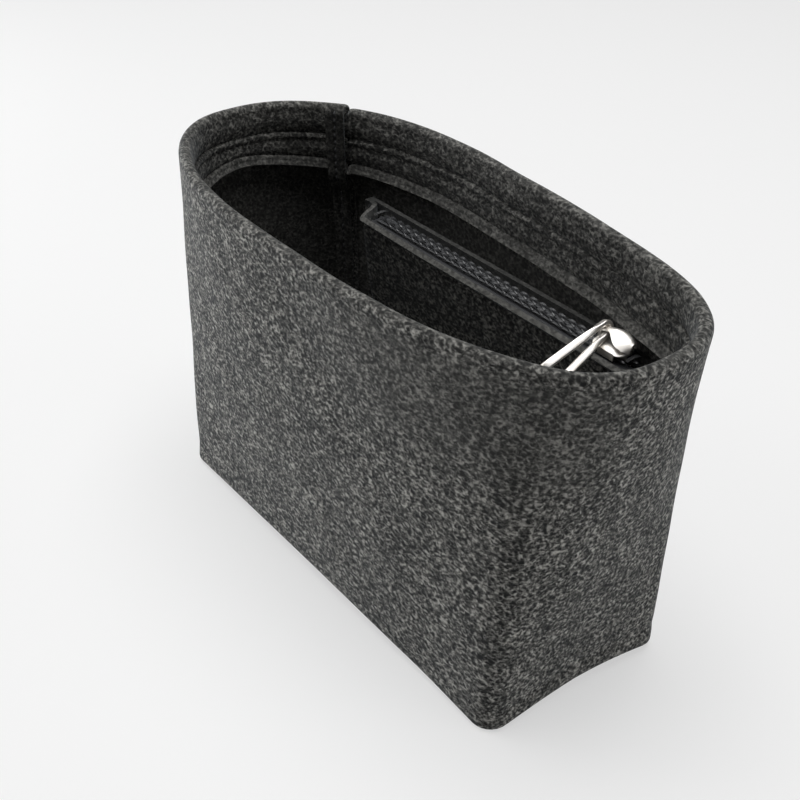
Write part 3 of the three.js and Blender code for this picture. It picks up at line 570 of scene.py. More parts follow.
class Shading:
    """The nodes of a material or a world. Most methods add a node and return its output."""

    def __init__(self, tree):
        self.tree = tree

    def feed(self, node, inputs):
        """Links each input to a socket, or sets it to a value."""
        for key, value in inputs.items():
            if isinstance(value, NodeSocket):
                self.tree.links.new(value, node.inputs[key])
            else:
                node.inputs[key].default_value = value

    def add(self, kind, inputs, **settings):
        """Adds a node and returns its outputs."""
        node = self.tree.nodes.new("ShaderNode" + kind)
        for key, value in settings.items():
            setattr(node, key, value)
        self.feed(node, inputs)
        return node.outputs

    def speckle(self, vector, scale, detail=2.0, roughness=0.55, distortion=0.0):
        """A noise texture's grey output."""
        inputs = {"Vector": vector, "Scale": scale, "Detail": detail, "Roughness": roughness}
        return self.add("TexNoise", {**inputs, "Distortion": distortion})["Fac"]

    def sum_up(self, operation, first, second=0.0):
        """One step of arithmetic; either side may be a number."""
        return self.add("Math", {0: first, 1: second}, operation=operation)["Value"]

    def times(self, first, second):
        """A product."""
        return self.sum_up("MULTIPLY", first, second)

    def plus(self, first, second, amount, middle=0.0):
        """The first and this amount of the second, counted from its middle."""
        if middle:
            second = self.sum_up("SUBTRACT", second, middle)
        return self.sum_up("ADD", first, self.times(second, amount))

    def span(self, value, low, high, to_low=0.0, to_high=1.0):
        """Maps a range of values softly onto another."""
        inputs = {"Value": value, "From Min": low, "From Max": high, "To Min": to_low, "To Max": to_high}
        return self.add("MapRange", inputs, interpolation_type="SMOOTHSTEP")["Result"]

    def blend(self, amount, first, second):
        """Mixes two colours; either may be a socket."""
        pair = [value if isinstance(value, NodeSocket) else (*value, 1) for value in (first, second)]
        return self.add("Mix", {"Factor": amount, 6: pair[0], 7: pair[1]}, data_type="RGBA")[2]

    def shifted(self, vector, offset=(0, 0, 0), stretch=(1, 1, 1)):
        """Coordinates moved and stretched."""
        return self.add("Mapping", {"Vector": vector, "Location": offset, "Scale": stretch})["Vector"]

    def marked(self, name):
        """The number that the points of a piece keep under this name, and 0 where they keep none."""
        return self.add("Attribute", {}, attribute_name=name)["Fac"]

    def web(self, vector, scale):
        """Curled lines that part small dark holes, as fibres that cross on the face of the felt."""
        noise = self.add("TexNoise", {"Vector": vector, "Scale": scale * 0.9, "Detail": 1.0})["Color"]
        curl = self.add("VectorMath", {0: noise, 1: [1.1 / scale] * 3, 2: vector}, operation="MULTIPLY_ADD")
        cells = self.add("TexVoronoi", {"Vector": curl["Vector"], "Scale": scale}, feature="DISTANCE_TO_EDGE")
        return self.span(cells["Distance"], 0.02, 0.34, 1.0, 0.0)

    def fibres(self, vector, scale, width, distortion):
        """Thin curled lines, as single fibres on the face of the felt."""
        field = self.speckle(vector, scale, 1.0, 0.5, distortion)
        away = self.sum_up("ABSOLUTE", self.sum_up("SUBTRACT", field, 0.5))
        return self.span(away, 0.0, width, 1.0, 0.0)

    def relief(self, shader, height, strength, distance):
        """Bumps the surface by a height."""
        bump = self.add("Bump", {"Strength": strength, "Distance": distance, "Height": height})
        self.feed(shader, {"Normal": bump["Normal"]})

    def seen_directly(self):
        """1 where the camera, a mirror or clear glass looks straight at the surface."""
        path = self.add("LightPath", {})
        seen = self.sum_up("MAXIMUM", path["Is Camera Ray"], path["Is Glossy Ray"])
        return self.sum_up("MAXIMUM", seen, path["Is Transmission Ray"])


def finish(name):
    """Turns a function that shades a material into one that makes the material once and returns it."""

    def once(shade):
        def made(colours):
            material = bpy.data.materials.get(name)
            if material is None:
                material = bpy.data.materials.new(name)
                material.use_nodes = True
                nodes = Shading(material.node_tree)
                place = nodes.add("TexCoord", {})["Object"]
                shade(nodes, nodes.tree.nodes["Principled BSDF"], place, colours)
            return material

        return made

    return once


def tinted(tone, amount):
    """A colour made lighter or darker, and never brighter than white."""
    return [min(1, value * amount) for value in tone]


@finish("charcoal felt")
def felt_finish(nodes, shader, place, colours):
    """Heathered wool felt: dark and light fibres curled together, plainer where it is pressed, and darkened
    towards its darkest fibres by painted shade where a piece marks it.
    """
    place = nodes.shifted(place, stretch=(0.75, 1, 1))
    clumps = nodes.speckle(place, 600, 1.0, 0.5, 0.7)
    grains = nodes.speckle(nodes.shifted(place, (0.31, 0.17, 0.53)), 900, 0.0, 0.5, 0.4)
    crossing = nodes.web(place, 560)
    cloud = nodes.speckle(place, 130, 2.0, 0.5)
    pale = nodes.fibres(nodes.shifted(place, (0.7, 0.2, 0.9)), 250, 0.05, 2.6)
    pale_two = nodes.fibres(nodes.shifted(place, (0.4, 0.8, 0.1)), 310, 0.045, 2.2)
    dark = nodes.fibres(nodes.shifted(place, (0.1, 0.6, 0.3)), 260, 0.06, 2.4)
    tone = nodes.plus(nodes.times(clumps, 0.66), grains, 0.34)
    tone = nodes.plus(tone, cloud, 0.16, 0.5)
    tone = nodes.plus(tone, crossing, 0.2, 0.42)
    shade = nodes.blend(nodes.span(tone, 0.36, 0.60), colours.felt_dark, colours.felt_mid)
    shade = nodes.blend(nodes.span(tone, 0.54, 0.84), shade, colours.felt_light)
    fleck = nodes.times(nodes.sum_up("MAXIMUM", pale, pale_two), nodes.span(grains, 0.42, 0.66))
    shade = nodes.blend(nodes.times(fleck, 0.36), shade, colours.felt_light)
    shade = nodes.blend(nodes.times(dark, 0.36), shade, colours.felt_dark)
    pressed = nodes.marked("pressed")
    darker, lighter = tinted(colours.felt_mid, 0.85), tinted(colours.felt_mid, 1.5)
    plain = nodes.blend(nodes.span(tone, 0.36, 0.64), darker, lighter)
    shade = nodes.blend(nodes.times(pressed, 0.85), shade, plain)
    # Painted shade: darkens the felt towards felt_dark wherever a piece marks it as lying in shade
    shade = nodes.blend(nodes.marked("rubbed"), shade, colours.felt_dark)
    nodes.feed(shader, {"Base Color": shade, "Roughness": 0.96, "Specular IOR Level": 0.12})
    sheen = {"Sheen Weight": 0.14, "Sheen Roughness": 0.42, "Sheen Tint": (0.86, 0.93, 1.0, 1)}
    nodes.feed(shader, sheen)
    height = nodes.times(nodes.plus(tone, fleck, 0.35), nodes.span(pressed, 0, 1, 1.0, 0.3))
    nodes.relief(shader, height, 0.5, 0.0007)


@finish("sewing thread")
def thread_finish(nodes, shader, place, colours):
    """Twisted polyester thread."""
    ply = nodes.speckle(place, 2600, 1.0)
    tone = nodes.span(nodes.speckle(place, 260, 2.0), 0.35, 0.7)
    shade = nodes.blend(tone, colours.thread, tinted(colours.thread, 2.2))
    nodes.feed(shader, {"Base Color": shade, "Roughness": 0.62, "Sheen Weight": 0.1})
    nodes.relief(shader, ply, 0.5, 0.0002)


@finish("woven tape")
def tape_finish(nodes, shader, place, colours):
    """Black woven tape with a fine rib along the zip."""
    ribbed = nodes.shifted(place, stretch=(1, 0.35, 0.35))
    rib = nodes.add("TexWave", {"Vector": ribbed, "Scale": 420, "Distortion": 0.6}, bands_direction="X")
    weave = nodes.plus(rib["Fac"], nodes.speckle(place, 1900, 1.0), 0.8)
    shade = nodes.blend(nodes.span(weave, 0.5, 1.5), colours.tape, tinted(colours.tape, 2.2))
    nodes.feed(shader, {"Base Color": shade, "Roughness": 0.62, "Specular IOR Level": 0.3})
    nodes.feed(shader, {"Sheen Weight": 0.06})
    nodes.relief(shader, weave, 0.45, 0.00025)


@finish("nylon coil")
def coil_finish(nodes, shader, place, colours):
    """Glossy black nylon."""
    haze = nodes.speckle(place, 900, 2.0)
    shade = nodes.blend(haze, colours.coil, tinted(colours.coil, 2.0))
    nodes.feed(shader, {"Base Color": shade, "Roughness": nodes.span(haze, 0.3, 0.7, 0.22, 0.38)})
    nodes.relief(shader, haze, 0.12, 0.0001)


@finish("silver plate")
def metal_finish(nodes, shader, place, colours):
    """Polished plated metal with faint rubbing marks."""
    rub = nodes.speckle(nodes.shifted(place, stretch=(0.4, 1.6, 1.0)), 900, 3.0, 0.6)
    worn = nodes.span(nodes.speckle(place, 240, 2.0), 0.4, 0.75)
    warm = [value * tint for value, tint in zip(colours.metal, (0.9, 0.87, 0.82))]
    shade = nodes.blend(worn, colours.metal, warm)
    roughness = nodes.span(rub, 0.3, 0.75, 0.34, 0.46)
    nodes.feed(shader, {"Base Color": shade, "Roughness": roughness, "Metallic": 1.0})
    nodes.relief(shader, rub, 0.06, 0.0001)


@finish("pale floor")
def floor_finish(nodes, shader, place, colours):
    """A matt pale floor that glows a little where it is looked at."""
    shade = nodes.blend(nodes.speckle(place, 3.0, 2.0), colours.floor, tinted(colours.floor, 0.985))
    nodes.feed(shader, {"Base Color": shade, "Roughness": 0.9, "Specular IOR Level": 0.1})
    glow = nodes.add("Emission", {"Color": (1, 1, 1, 1), "Strength": 1.0})["Emission"]
    amount = nodes.times(nodes.seen_directly(), 0.55)
    mix = nodes.add("MixShader", {"Fac": amount, 1: shader.outputs["BSDF"], 2: glow})
    nodes.feed(nodes.tree.nodes["Material Output"], {"Surface": mix["Shader"]})


FINISHES = {
    "felt": felt_finish,
    "thread": thread_finish,
    "tape": tape_finish,
    "coil": coil_finish,
    "metal": metal_finish,
}


# The felt pieces

# Where the parts of the felt strip end, as shares of its width
TOE, TOE_TURN, FOOT, WALL, FOLD = 0.02, 0.04, 0.1, 0.42, 0.48

# The hem's relief by its upper and lower stitches: the row, how far it stands out, its offset and its width
UPPER, LOWER = 0, 1
HEM_RELIEF = (
    (UPPER, -0.0014, 0, 0.0007),
    (LOWER, -0.0013, 0, 0.0006),
    (UPPER, 0.0006, -0.0016, 0.0008),
    (LOWER, 0.0004, -0.0010, 0.0006),
    (UPPER, 0.0006, -0.0065, 0.003),
    (UPPER, 0.0006, 0.0045, 0.003),
)
HEM_FLARE = 0.0022
LOWER_ROW_LIFT = 0.0007

# The hollow that a row of stitches makes, and how far the zip's front row lies below the pocket's mouth
ROW_HOLLOW = 0.0011
ZIP_ROW = 0.003

# How the foot of an end rolls: how far out, at which height and over which width
FOOT_ROLL = ((0.00025, 0.0045, 0.003), (-0.0004, 0.0095, 0.0024))

# The wall's unevenness, and the rim's rise beside the seam
WALL_SLACK = 0.00055
RIM_SLACK = 0.0004
RIM_RISE, RIM_RISE_WIDTH = 0.0011, 0.02

# The turned-over end: where its root lies, its gaps to what it lies on, and its bend over the rim
ROOT = 0.0006
FOOT_GAP, HEM_GAP, WALL_GAP = 0.0013, 0.0010, 0.0004
BEND_FROM = 0.94
BEND = math.radians(46)


def wall_profile(form, place, v):
    """The middle of the felt strip from its turned-in foot, up the wall, over the fold and down the hem.

    Returns the inset, the height and the height at which the outer face is read.
    """
    pouch = form.pouch
    half = pouch.felt / 2
    ground = form.lift(place)
    hem = form.hem_edge(place)
    turn = half + SEWN_GAP / 2
    inner = half + 2 * turn
    toe_z = ground + form.foot_top - half
    toe_in = pouch.felt + pouch.allowance
    fold = form.fold_radius - half
    inset = np.zeros_like(v)
    z = np.zeros_like(v)
    level = np.zeros_like(v)

    def section(start, end):
        chosen = (v >= start - 1e-9) & (v <= end + 1e-9)
        return chosen, np.clip((v[chosen] - start) / (end - start), 0, 1)

    chosen, t = section(0.0, TOE)
    inset[chosen] = toe_in + (inner + turn - toe_in) * t
    z[chosen] = toe_z[chosen]
    level[chosen] = ground[chosen] + half
    chosen, t = section(TOE, TOE_TURN)
    inset[chosen] = inner + turn - turn * np.sin(t * math.pi / 2)
    z[chosen] = toe_z[chosen] - turn * (1 - np.cos(t * math.pi / 2))
    level[chosen] = ground[chosen] + half
    chosen, t = section(TOE_TURN, FOOT)
    inset[chosen] = half + turn + turn * np.cos(t * math.pi)
    z[chosen] = ground[chosen] + half + turn * (1 - np.sin(t * math.pi))
    level[chosen] = np.where(t < 0.5, ground[chosen] + half, z[chosen])
    chosen, t = section(FOOT, WALL)
    low = ground[chosen] + half + turn
    inset[chosen] = half
    z[chosen] = low + (form.fold_z - low) * t**1.35
    level[chosen] = z[chosen]
    chosen, t = section(WALL, FOLD)
    inset[chosen] = half + fold * (1 - np.cos(t * math.pi))
    z[chosen] = form.fold_z + fold * np.sin(t * math.pi)
    level[chosen] = z[chosen]
    chosen, t = section(FOLD, 1.0)
    z[chosen] = form.fold_z + (hem[chosen] - form.fold_z) * t
    inset[chosen] = hem_inset(form, z[chosen], hem[chosen])
    level[chosen] = z[chosen]
    return inset, z, level


def hem_rows(form, hem):
    """The heights of the hem's two rows of stitches."""
    pouch = form.pouch
    return np.full_like(hem, pouch.height - pouch.upper_row), hem + pouch.hem_lip + LOWER_ROW_LIFT


def hem_inset(form, z, hem):
    """The middle of the hem's felt: sunk at its stitches, full between them and flaring at its lip."""
    rows = hem_rows(form, hem)
    relief = sum(height * dip(z - rows[row] - offset, width) for row, height, offset, width in HEM_RELIEF)
    flare = HEM_FLARE * np.clip((rows[LOWER] - z) / (rows[LOWER] - hem), 0, 1)
    return form.hem_face - form.pouch.felt / 2 + relief + flare


def wall_piece(form):
    """The wall: one strip of felt, whose two ends turn in where they are sewn together."""
    pouch = form.pouch
    lip = pouch.felt / 2 - 0.0002
    bend = 0.0016
    last = form.base.length - lip

    def place(u, v):
        run = np.interp(u, (0, 0.025, 0.975, 1), (lip, lip + bend, last - bend, last))
        share_round = form.seam + run / form.base.length
        inset, z, level = wall_profile(form, share_round, v)
        for distance in (run - lip, last - run):
            close = np.clip(bend - distance, 0, bend)
            inset = inset + bend - np.sqrt(np.maximum(bend**2 - close**2, 0))
        on_wall = smooth(z, 0.004, 0.03)
        height = z - form.lift(share_round)
        on_end = np.abs(form.inward(share_round, z)[:, 0]) ** 2
        foot = on_end * sum(out * dip(height - at, width) for out, at, width in FOOT_ROLL)
        slack = WALL_SLACK * ripple(run, z, 11) + 0.0001
        inset = inset - on_wall * slack - foot * (v < WALL) * (v > TOE_TURN)
        points = form.wall(share_round, z, inset, level)
        rim = smooth(z, 0.09, pouch.height)
        points[:, 2] += rim * RIM_SLACK * ripple(run, np.zeros_like(run), 23)
        points[:, 2] += rim * RIM_RISE * np.exp(-(run - lip) / RIM_RISE_WIDTH)
        return points

    def pressed(u, v):
        lip = 0.4 * smooth(v, 0.925, 0.94)
        fold = 0.3 * dip(v - (WALL + FOLD) / 2, 0.025)
        return lip + fold + 0.35 * smooth(v, WALL, FOLD)

    def wall_part(u, v):
        return v < WALL

    # The second mark first holds the wall part below the fold; shade_sides reads it, then replaces it with
    # painted shade inside the pouch and by the front right-hand rim.
    piece = grid_piece("felt_wall", 300, 150, place, pressed=pressed, rubbed=wall_part)
    thicken(piece, pouch.felt)
    shade_sides(piece)
    return piece


def shade_sides(piece):
    """Makes the felt plainer and darker inside the pouch, and plainer and a little darker outside by the
    front right-hand rim; the darkening is painted shade where these parts lie in shade.
    """
    points = points_of(piece)
    half = len(points) // 2
    on_wall = marks_of(piece, "rubbed")
    wall_reach = np.hypot(points[:, 0] / 2, points[:, 1]) * on_wall
    second_inner = wall_reach[half:].sum() < wall_reach[:half].sum()
    inner = (np.arange(len(points)) >= half) == second_inner
    x, y, z = points.T
    # The front right-hand wall below the rim, outside: plainer felt, and painted shade where the lamps leave
    # that corner dark
    worn = smooth(z, 0.085, 0.115) * smooth(x, -0.01, 0.06) * smooth(-y, 0.0, 0.03) * on_wall * ~inner
    mark(piece, "pressed", marks_of(piece, "pressed") + 0.7 * on_wall * inner + 0.45 * worn)
    # Painted shade: darker felt inside the pouch and by the front right-hand rim
    mark(piece, "rubbed", 0.2 * on_wall * inner + 0.12 * worn)


def turned_end_place(form, run, t):
    """A place in the middle of the turned-over end, by its distance from the seam and its share upwards.

    Returns the share round the pouch, the height and the inset.
    """
    pouch = form.pouch
    share_round = form.seam + run / form.base.length
    low = form.lift(share_round) + form.foot_top + FOOT_GAP
    over = np.clip((t - BEND_FROM) / (1 - BEND_FROM), 0, 1) * BEND
    z = low + (form.fold_z - low) * np.minimum(t / BEND_FROM, 1)
    hem = form.hem_edge(share_round)
    on_hem = smooth(z, hem - 3 * pouch.hem_lip, hem - pouch.hem_lip / 2)
    middle = pouch.felt / 2 + WALL_GAP
    inset = pouch.felt * (1 - on_hem) + (form.hem_face + HEM_GAP) * on_hem + middle
    reach = inset - form.fold_radius
    return share_round, z + reach * np.sin(over), inset - reach * (1 - np.cos(over))


def turned_end_piece(form):
    """The end of the strip, turned over inside the seam and sewn down."""
    width = form.pouch.turned_end

    def place(u, v):
        run = ROOT + (width - ROOT) * u
        share_round, z, inset = turned_end_place(form, run, v)
        sewn = 0.0006 * dip(run - width / 2, ROW_HOLLOW)
        free = 0.0008 * smooth(u, 0.6, 1)
        root = 0.0014 * (1 - smooth(run, ROOT, 0.003))
        return form.wall(share_round, z, inset - sewn + free - root + 0.00025 * ripple(run, z, 5))

    def pressed(u, v):
        return np.full_like(u, 0.6)

    # Painted shade on the turned-over end, all but its free edge, for the shade in the seam's inside corner
    def rubbed(u, v):
        return 0.36 * (1 - smooth(u, 0.86, 0.95))

    piece = grid_piece("turned_end", 16, 100, place, pressed=pressed, rubbed=rubbed)
    thicken(piece, form.pouch.felt)
    return piece


class ORGANIZER_OT_wall(Operator):
    """Sews the felt wall with its folded hem and its seam"""

    bl_idname = "organizer.wall"
    bl_label = "Felt wall"

    def execute(self, context):
        form = PouchForm(context.scene.organizer_pouch)
        wall = join([wall_piece(form), turned_end_piece(form)], "felt_wall")
        smooth_shade(wall)
        dress(wall, "felt", "organizer", "wall_panel")
        return {"FINISHED"}


class ORGANIZER_OT_base(Operator):
    """Lays the felt base inside the foot of the wall"""

    bl_idname = "organizer.base"
    bl_label = "Felt base"

    def execute(self, context):
        form = PouchForm(context.scene.organizer_pouch)
        pouch = form.pouch
        edge = 2 * pouch.felt + 0.0005
        half = form.half - edge
        radius = pouch.corner - edge
        lift_reach = 0.032

        def place(u, v):
            square = np.stack([u, v], -1) * 2 - 1
            reach = np.max(np.abs(square), axis=1, keepdims=True)
            border = square / np.maximum(reach, 1e-9) * half
            core = np.clip(border, radius - half, half - radius)
            away = border - core
            length = np.maximum(np.linalg.norm(away, axis=1, keepdims=True), 1e-9)
            border = core + away / length * np.minimum(length, radius)
            plan = border * reach
            along, across = (border / form.straight).T
            on_end = np.abs(square[:, 0]) > np.abs(square[:, 1])
            lift = np.where(on_end, pouch.lift_short * arch(across), pouch.lift_long * arch(along))
            inset = np.min(half - np.abs(plan), axis=1)
            uneven = 0.00025 * (1 + ripple(plan[:, 0], plan[:, 1], 3)) / 2
            z = lift * (1 - smooth(inset, 0, lift_reach)) + pouch.felt / 2 + uneven
            return np.column_stack([form.skewed(plan), z])

        base = grid_piece("felt_base", 110, 56, place)
        thicken(base, pouch.felt)
        smooth_shade(base)
        dress(base, "felt", "organizer", "base_panel")
        return {"FINISHED"}


def pocket_grid(name, panel, depth, rows, edge_painted_shade):
    """A panel of the pocket, sunk along its rows of stitches, with painted shade along its top edge."""
    pocket = panel.pocket
    left = -pocket.left - pocket.allowance
    width = pocket.right + pocket.allowance - left
    seam = pocket.allowance / width

    def place(u, v):
        x = left + width * u
        z = pocket.bottom + (pocket.top - pocket.bottom) * v
        y = depth(x, z)
        for distance, sink in rows(x, z):
            y = y + sink * dip(distance, ROW_HOLLOW)
        return np.column_stack([x, y, z])

    def pressed(u, v):
        return smooth(v, 0.962, 0.975)

    # Painted shade along the panel's top edge: near the end seams, and along the whole edge by the given
    # amount
    def rubbed(u, v):
        at_seam = smooth(np.abs(u - 0.5), 0.5 - 1.4 * seam, 0.5 - 0.9 * seam)
        return np.maximum(edge_painted_shade, 0.7 * at_seam) * pressed(u, v)

    piece = grid_piece(name, 160, 64, place, pressed=pressed, rubbed=rubbed)
    thicken(piece, pocket.felt)
    smooth_shade(piece)
    return piece


class ORGANIZER_OT_pocket(Operator):
    """Hangs the zip pocket's two felt panels on the back wall"""

    bl_idname = "organizer.pocket"
    bl_label = "Pocket panels"

    def execute(self, context):
        panel = PocketForm(context.scene)
        pocket = panel.pocket
        row = pocket.allowance / 2

        def front_rows(x, z):
            sink, tape_sink, reach = 0.0005, 0.0006, 0.004
            yield x + pocket.left + row, sink
            yield x - pocket.right - row, sink
            yield z - pocket.bottom - row, sink
            from_left = smooth(x, panel.zip_left - reach, panel.zip_left)
            from_right = 1 - smooth(x, panel.zip_right, panel.zip_right + reach)
            yield z - pocket.top + ZIP_ROW, tape_sink * from_left * from_right

        def front_depth(x, z):
            loose = panel.inside(x) * smooth(z, pocket.bottom, pocket.bottom + 0.03)
            lean = panel.inside(x) * 0.0020 * smooth(z, pocket.top - 0.0030, pocket.top + 0.0006)
            return panel.front(x, z) - loose * 0.0006 * (1 + ripple(x, z, 31)) / 2 - lean

        def back_depth(x, z):
            return panel.rear(x, z) - pocket.felt / 2

        # The back panel's top edge gets painted shade all along, as it lies in shade behind the front panel
        # and under the hem
        front = pocket_grid("pocket_front_felt", panel, front_depth, front_rows, 0.0)
        back = pocket_grid("pocket_back_felt", panel, back_depth, lambda x, z: (), 0.6)
        dress(front, "felt", "organizer", "pocket_front_panel")
        dress(back, "felt", "organizer", "pocket_back_panel")
        return {"FINISHED"}


# Stitches

STITCH_FILL = 0.86
STITCH_SLANT = 0.05
STITCH_UNEVEN = 0.03
THREAD_LIFT = 0.0001

# How far the wall's rows begin past the turned-over end, and how far they stop short of the seam
ROW_START, ROW_END = 0.0014, 0.0032


def stitch_pattern(length, thickness):
    """One stitch along X: a short strand that dives into the cloth at both ends."""
    stitch = added(
        "stitch", bpy.ops.mesh.primitive_cylinder_add, vertices=6, radius=thickness / 2, depth=length,
        end_fill_type="TRIFAN",
    )
    cuts = [(0, 0, length * 0.28), (0, 0, 0), (0, 0, -length * 0.28)]
    edit(stitch, *[partial(bpy.ops.mesh.bisect, plane_co=cut, plane_no=(0, 0, 1)) for cut in cuts])
    points = points_of(stitch)
    along = points[:, 2] / (length / 2)
    narrow = 1 - 0.55 * np.abs(along) ** 3
    rise = thickness * (0.28 - 0.85 * along**2)
    move_points(stitch, np.column_stack([points[:, 2], points[:, 0] * narrow, points[:, 1] * narrow + rise]))
    outward(stitch)
    return stitch


def row_places(path, normals, pitch):
    """The place of each stitch along a path: X along it and Z towards the normals."""
    steps = np.linalg.norm(np.diff(path, axis=0), axis=1)
    runs = np.concatenate([[0], np.cumsum(steps)])
    count = max(1, int(round(runs[-1] / pitch)))
    rng = np.random.default_rng(count)

    def read(table, run):
        return np.array([np.interp(run, runs, table[:, axis]) for axis in range(3)])

    places = []
    for middle in (np.arange(count) + 0.5) * runs[-1] / count:
        along = read(path, middle + pitch / 4) - read(path, middle - pitch / 4)
        along /= np.linalg.norm(along)
        across = np.cross(read(normals, middle), along)
        across /= np.linalg.norm(across)
        out = np.cross(along, across)
        turn = STITCH_SLANT + rng.normal(0, STITCH_UNEVEN)
        x_axis = along * math.cos(turn) + across * math.sin(turn)
        y_axis = across * math.cos(turn) - along * math.sin(turn)
        place = np.column_stack([x_axis, y_axis, out, read(path, middle)])
        places.append(Matrix(np.vstack([place, [0, 0, 0, 1]]).tolist()))
    return places


def sew(name, node, path, normals):
    """One row of stitches along a path."""
    settings = bpy.context.scene.organizer_zip
    pattern = stitch_pattern(settings.stitch * STITCH_FILL, settings.thread)
    row = copies(pattern, name, row_places(path, normals, settings.stitch))
    smooth_shade(row)
    dress(row, "thread", "organizer", node)


class ORGANIZER_OT_hem_stitches(Operator):
    """Sews the hem, the wall's seam and the base's seam"""

    bl_idname = "organizer.hem_stitches"
    bl_label = "Wall stitches"

    def execute(self, context):
        form = PouchForm(context.scene.organizer_pouch)
        pouch = form.pouch
        first = form.seam + (pouch.turned_end + ROW_START) / form.base.length
        last = form.seam + 1 - ROW_END / form.base.length
        places = np.linspace(first, last, 900)
        hem = form.hem_edge(places)
        for row, z in zip(("upper", "lower"), hem_rows(form, hem)):
            inset = hem_inset(form, z, hem) + pouch.felt / 2 + THREAD_LIFT
            path = form.wall(places, z, inset)
            sew(f"hem_stitches_{row}", f"hem_stitch_{row}", path, upright(form.inward(places, z)))
        into = form.inward(places, np.zeros(len(places)))
        toe = form.base.at(places) + into * (pouch.felt + pouch.allowance * 0.7)
        path = np.column_stack([toe, form.lift(places) + form.foot_top + THREAD_LIFT])
        sew("base_seam_stitches", "base_seam_stitch", path, np.tile([0.0, 0.0, 1.0], (len(places), 1)))
        t = np.linspace(0.01, 0.985, 300)
        share_round, z, inset = turned_end_place(form, np.full_like(t, pouch.turned_end / 2), t)
        path = form.wall(share_round, z, inset + pouch.felt / 2 - 0.0004)
        sew("wall_seam_stitches", "wall_seam_stitch", path, upright(form.inward(share_round, z)))
        return {"FINISHED"}


class ORGANIZER_OT_pocket_stitches(Operator):
    """Sews the pocket's ends and bottom, and the zip's tapes"""

    bl_idname = "organizer.pocket_stitches"
    bl_label = "Pocket stitches"

    def execute(self, context):
        panel = PocketForm(context.scene)
        pocket = panel.pocket
        sunk = 0.0004
        row = pocket.allowance / 2
        step = 2e-4

        def front_row(name, node, x, z):
            y = panel.front(x, z) - pocket.felt / 2 + sunk
            slope = (panel.front(x + step, z) - panel.front(x - step, z)) / (2 * step)
            normals = np.column_stack([slope, -np.ones_like(x), np.zeros_like(x)])
            normals /= np.linalg.norm(normals, axis=1, keepdims=True)
            sew(name, node, np.column_stack([x, y, z]), normals)

        rise = np.linspace(panel.seam_z, pocket.top - 0.001, 200)
        front_row("pocket_stitches_left", "pocket_stitch_left", np.full(200, -pocket.left - row), rise)
        front_row("pocket_stitches_right", "pocket_stitch_right", np.full(200, pocket.right + row), rise)
        run = np.linspace(panel.zip_left, panel.zip_right, 300)
        front_row("pocket_stitches_bottom", "pocket_stitch_bottom", run, np.full(300, pocket.bottom + row))
        front_row("zip_stitches_front", "zip_stitch_front", run, np.full(300, pocket.top - ZIP_ROW))
        z = np.full(300, panel.tape_top - 0.004)
        y = panel.off_felt(1, run, z, context.scene.organizer_zip.tape) - THREAD_LIFT
        front = np.tile([0.0, -1.0, 0.0], (300, 1))
        sew("zip_stitches_back", "zip_stitch_back", np.column_stack([run, y, z]), front)
        return {"FINISHED"}


# The zip

ZIP_SIDES = ((-1, "front"), (1, "back"))
TAPE_EDGE = 0.0007
TAPE_BEND = 0.0012
COIL_INNER = 0.0003

# Where a tape's flat part and its bend end, as shares of its width
TAPE_FLAT, TAPE_TURNED = 0.42, 0.62


def tape_profile(seat_y, side, edge_y, top, turn, v):
    """The middle of a tape from under the coil to its edge behind the felt, with a rounded turn."""
    flat = np.abs(seat_y - edge_y) - TAPE_BEND
    bend = np.clip((v - TAPE_FLAT) / (TAPE_TURNED - TAPE_FLAT), 0, 1) * math.pi / 2
    fall = np.clip((v - TAPE_TURNED) / (1 - TAPE_TURNED), 0, 1)
    across = flat * np.clip(v / TAPE_FLAT, 0, 1) + TAPE_BEND * np.sin(bend)
    down = TAPE_BEND * (1 - np.cos(bend)) + fall * (turn - TAPE_BEND)
    return edge_y + side * across, top - down


class ORGANIZER_OT_zip_tapes(Operator):
    """Folds the zip's two tapes over behind the felt"""

    bl_idname = "organizer.zip_tapes"
    bl_label = "Zip tapes"

    def execute(self, context):
        panel = PocketForm(context.scene)
        settings = context.scene.organizer_zip
        half = settings.tape / 2
        length = panel.zip_right - panel.zip_left
        for side, end in ZIP_SIDES:

            def place(u, v, side=side):
                x = panel.zip_left + length * u
                seat = panel.off_felt(side, x, np.full_like(x, panel.tape_top), half)
                edge = ZIP_Y + side * TAPE_EDGE
                y, z = tape_profile(seat, side, edge, panel.tape_top - half, settings.turn, v)
                y = np.where(v > TAPE_TURNED, panel.off_felt(side, x, z, half), y)
                return np.column_stack([x, y, z + 0.00012 * ripple(x * 3, v * 0.02, 41) * (v < 0.5)])

            tape = grid_piece(f"tape_{end}", 142, 22, place)
            thicken(tape, settings.tape)
            smooth_shade(tape)
            dress(tape, "tape", "organizer", f"zip_tape_{end}")
        return {"FINISHED"}


def coil_turn(settings, low, high, outer, side):
    """One turn of the coil: a flattened loop of nylon that leans along the zip."""
    radius = settings.filament / 2
    turn, angle, minor = torus_piece("coil_turn", 14, 6)
    ring = np.stack([np.cos(angle), np.sin(angle)], -1)
    bulge = np.sign(ring) * np.abs(ring) ** 0.75
    half_width, half_height = (outer - COIL_INNER) / 2 - radius, (high - low) / 2 - radius
    thick = radius * (1 + 0.25 * smooth(-ring[:, 0], 0.6, 1.0))
    y = bulge[:, 0] * half_width + ring[:, 0] * minor[:, 0] * thick
    z = bulge[:, 1] * half_height + ring[:, 1] * minor[:, 0] * thick
    lean = settings.lean * (ring[:, 1] > -0.2) * (0.5 - 0.5 * side * ring[:, 0])
    x = minor[:, 1] * thick * 1.15 + lean
    move_points(turn, np.column_stack([x, y + (outer + COIL_INNER) / 2, z + (high + low) / 2]))
    outward(turn)
    return turn


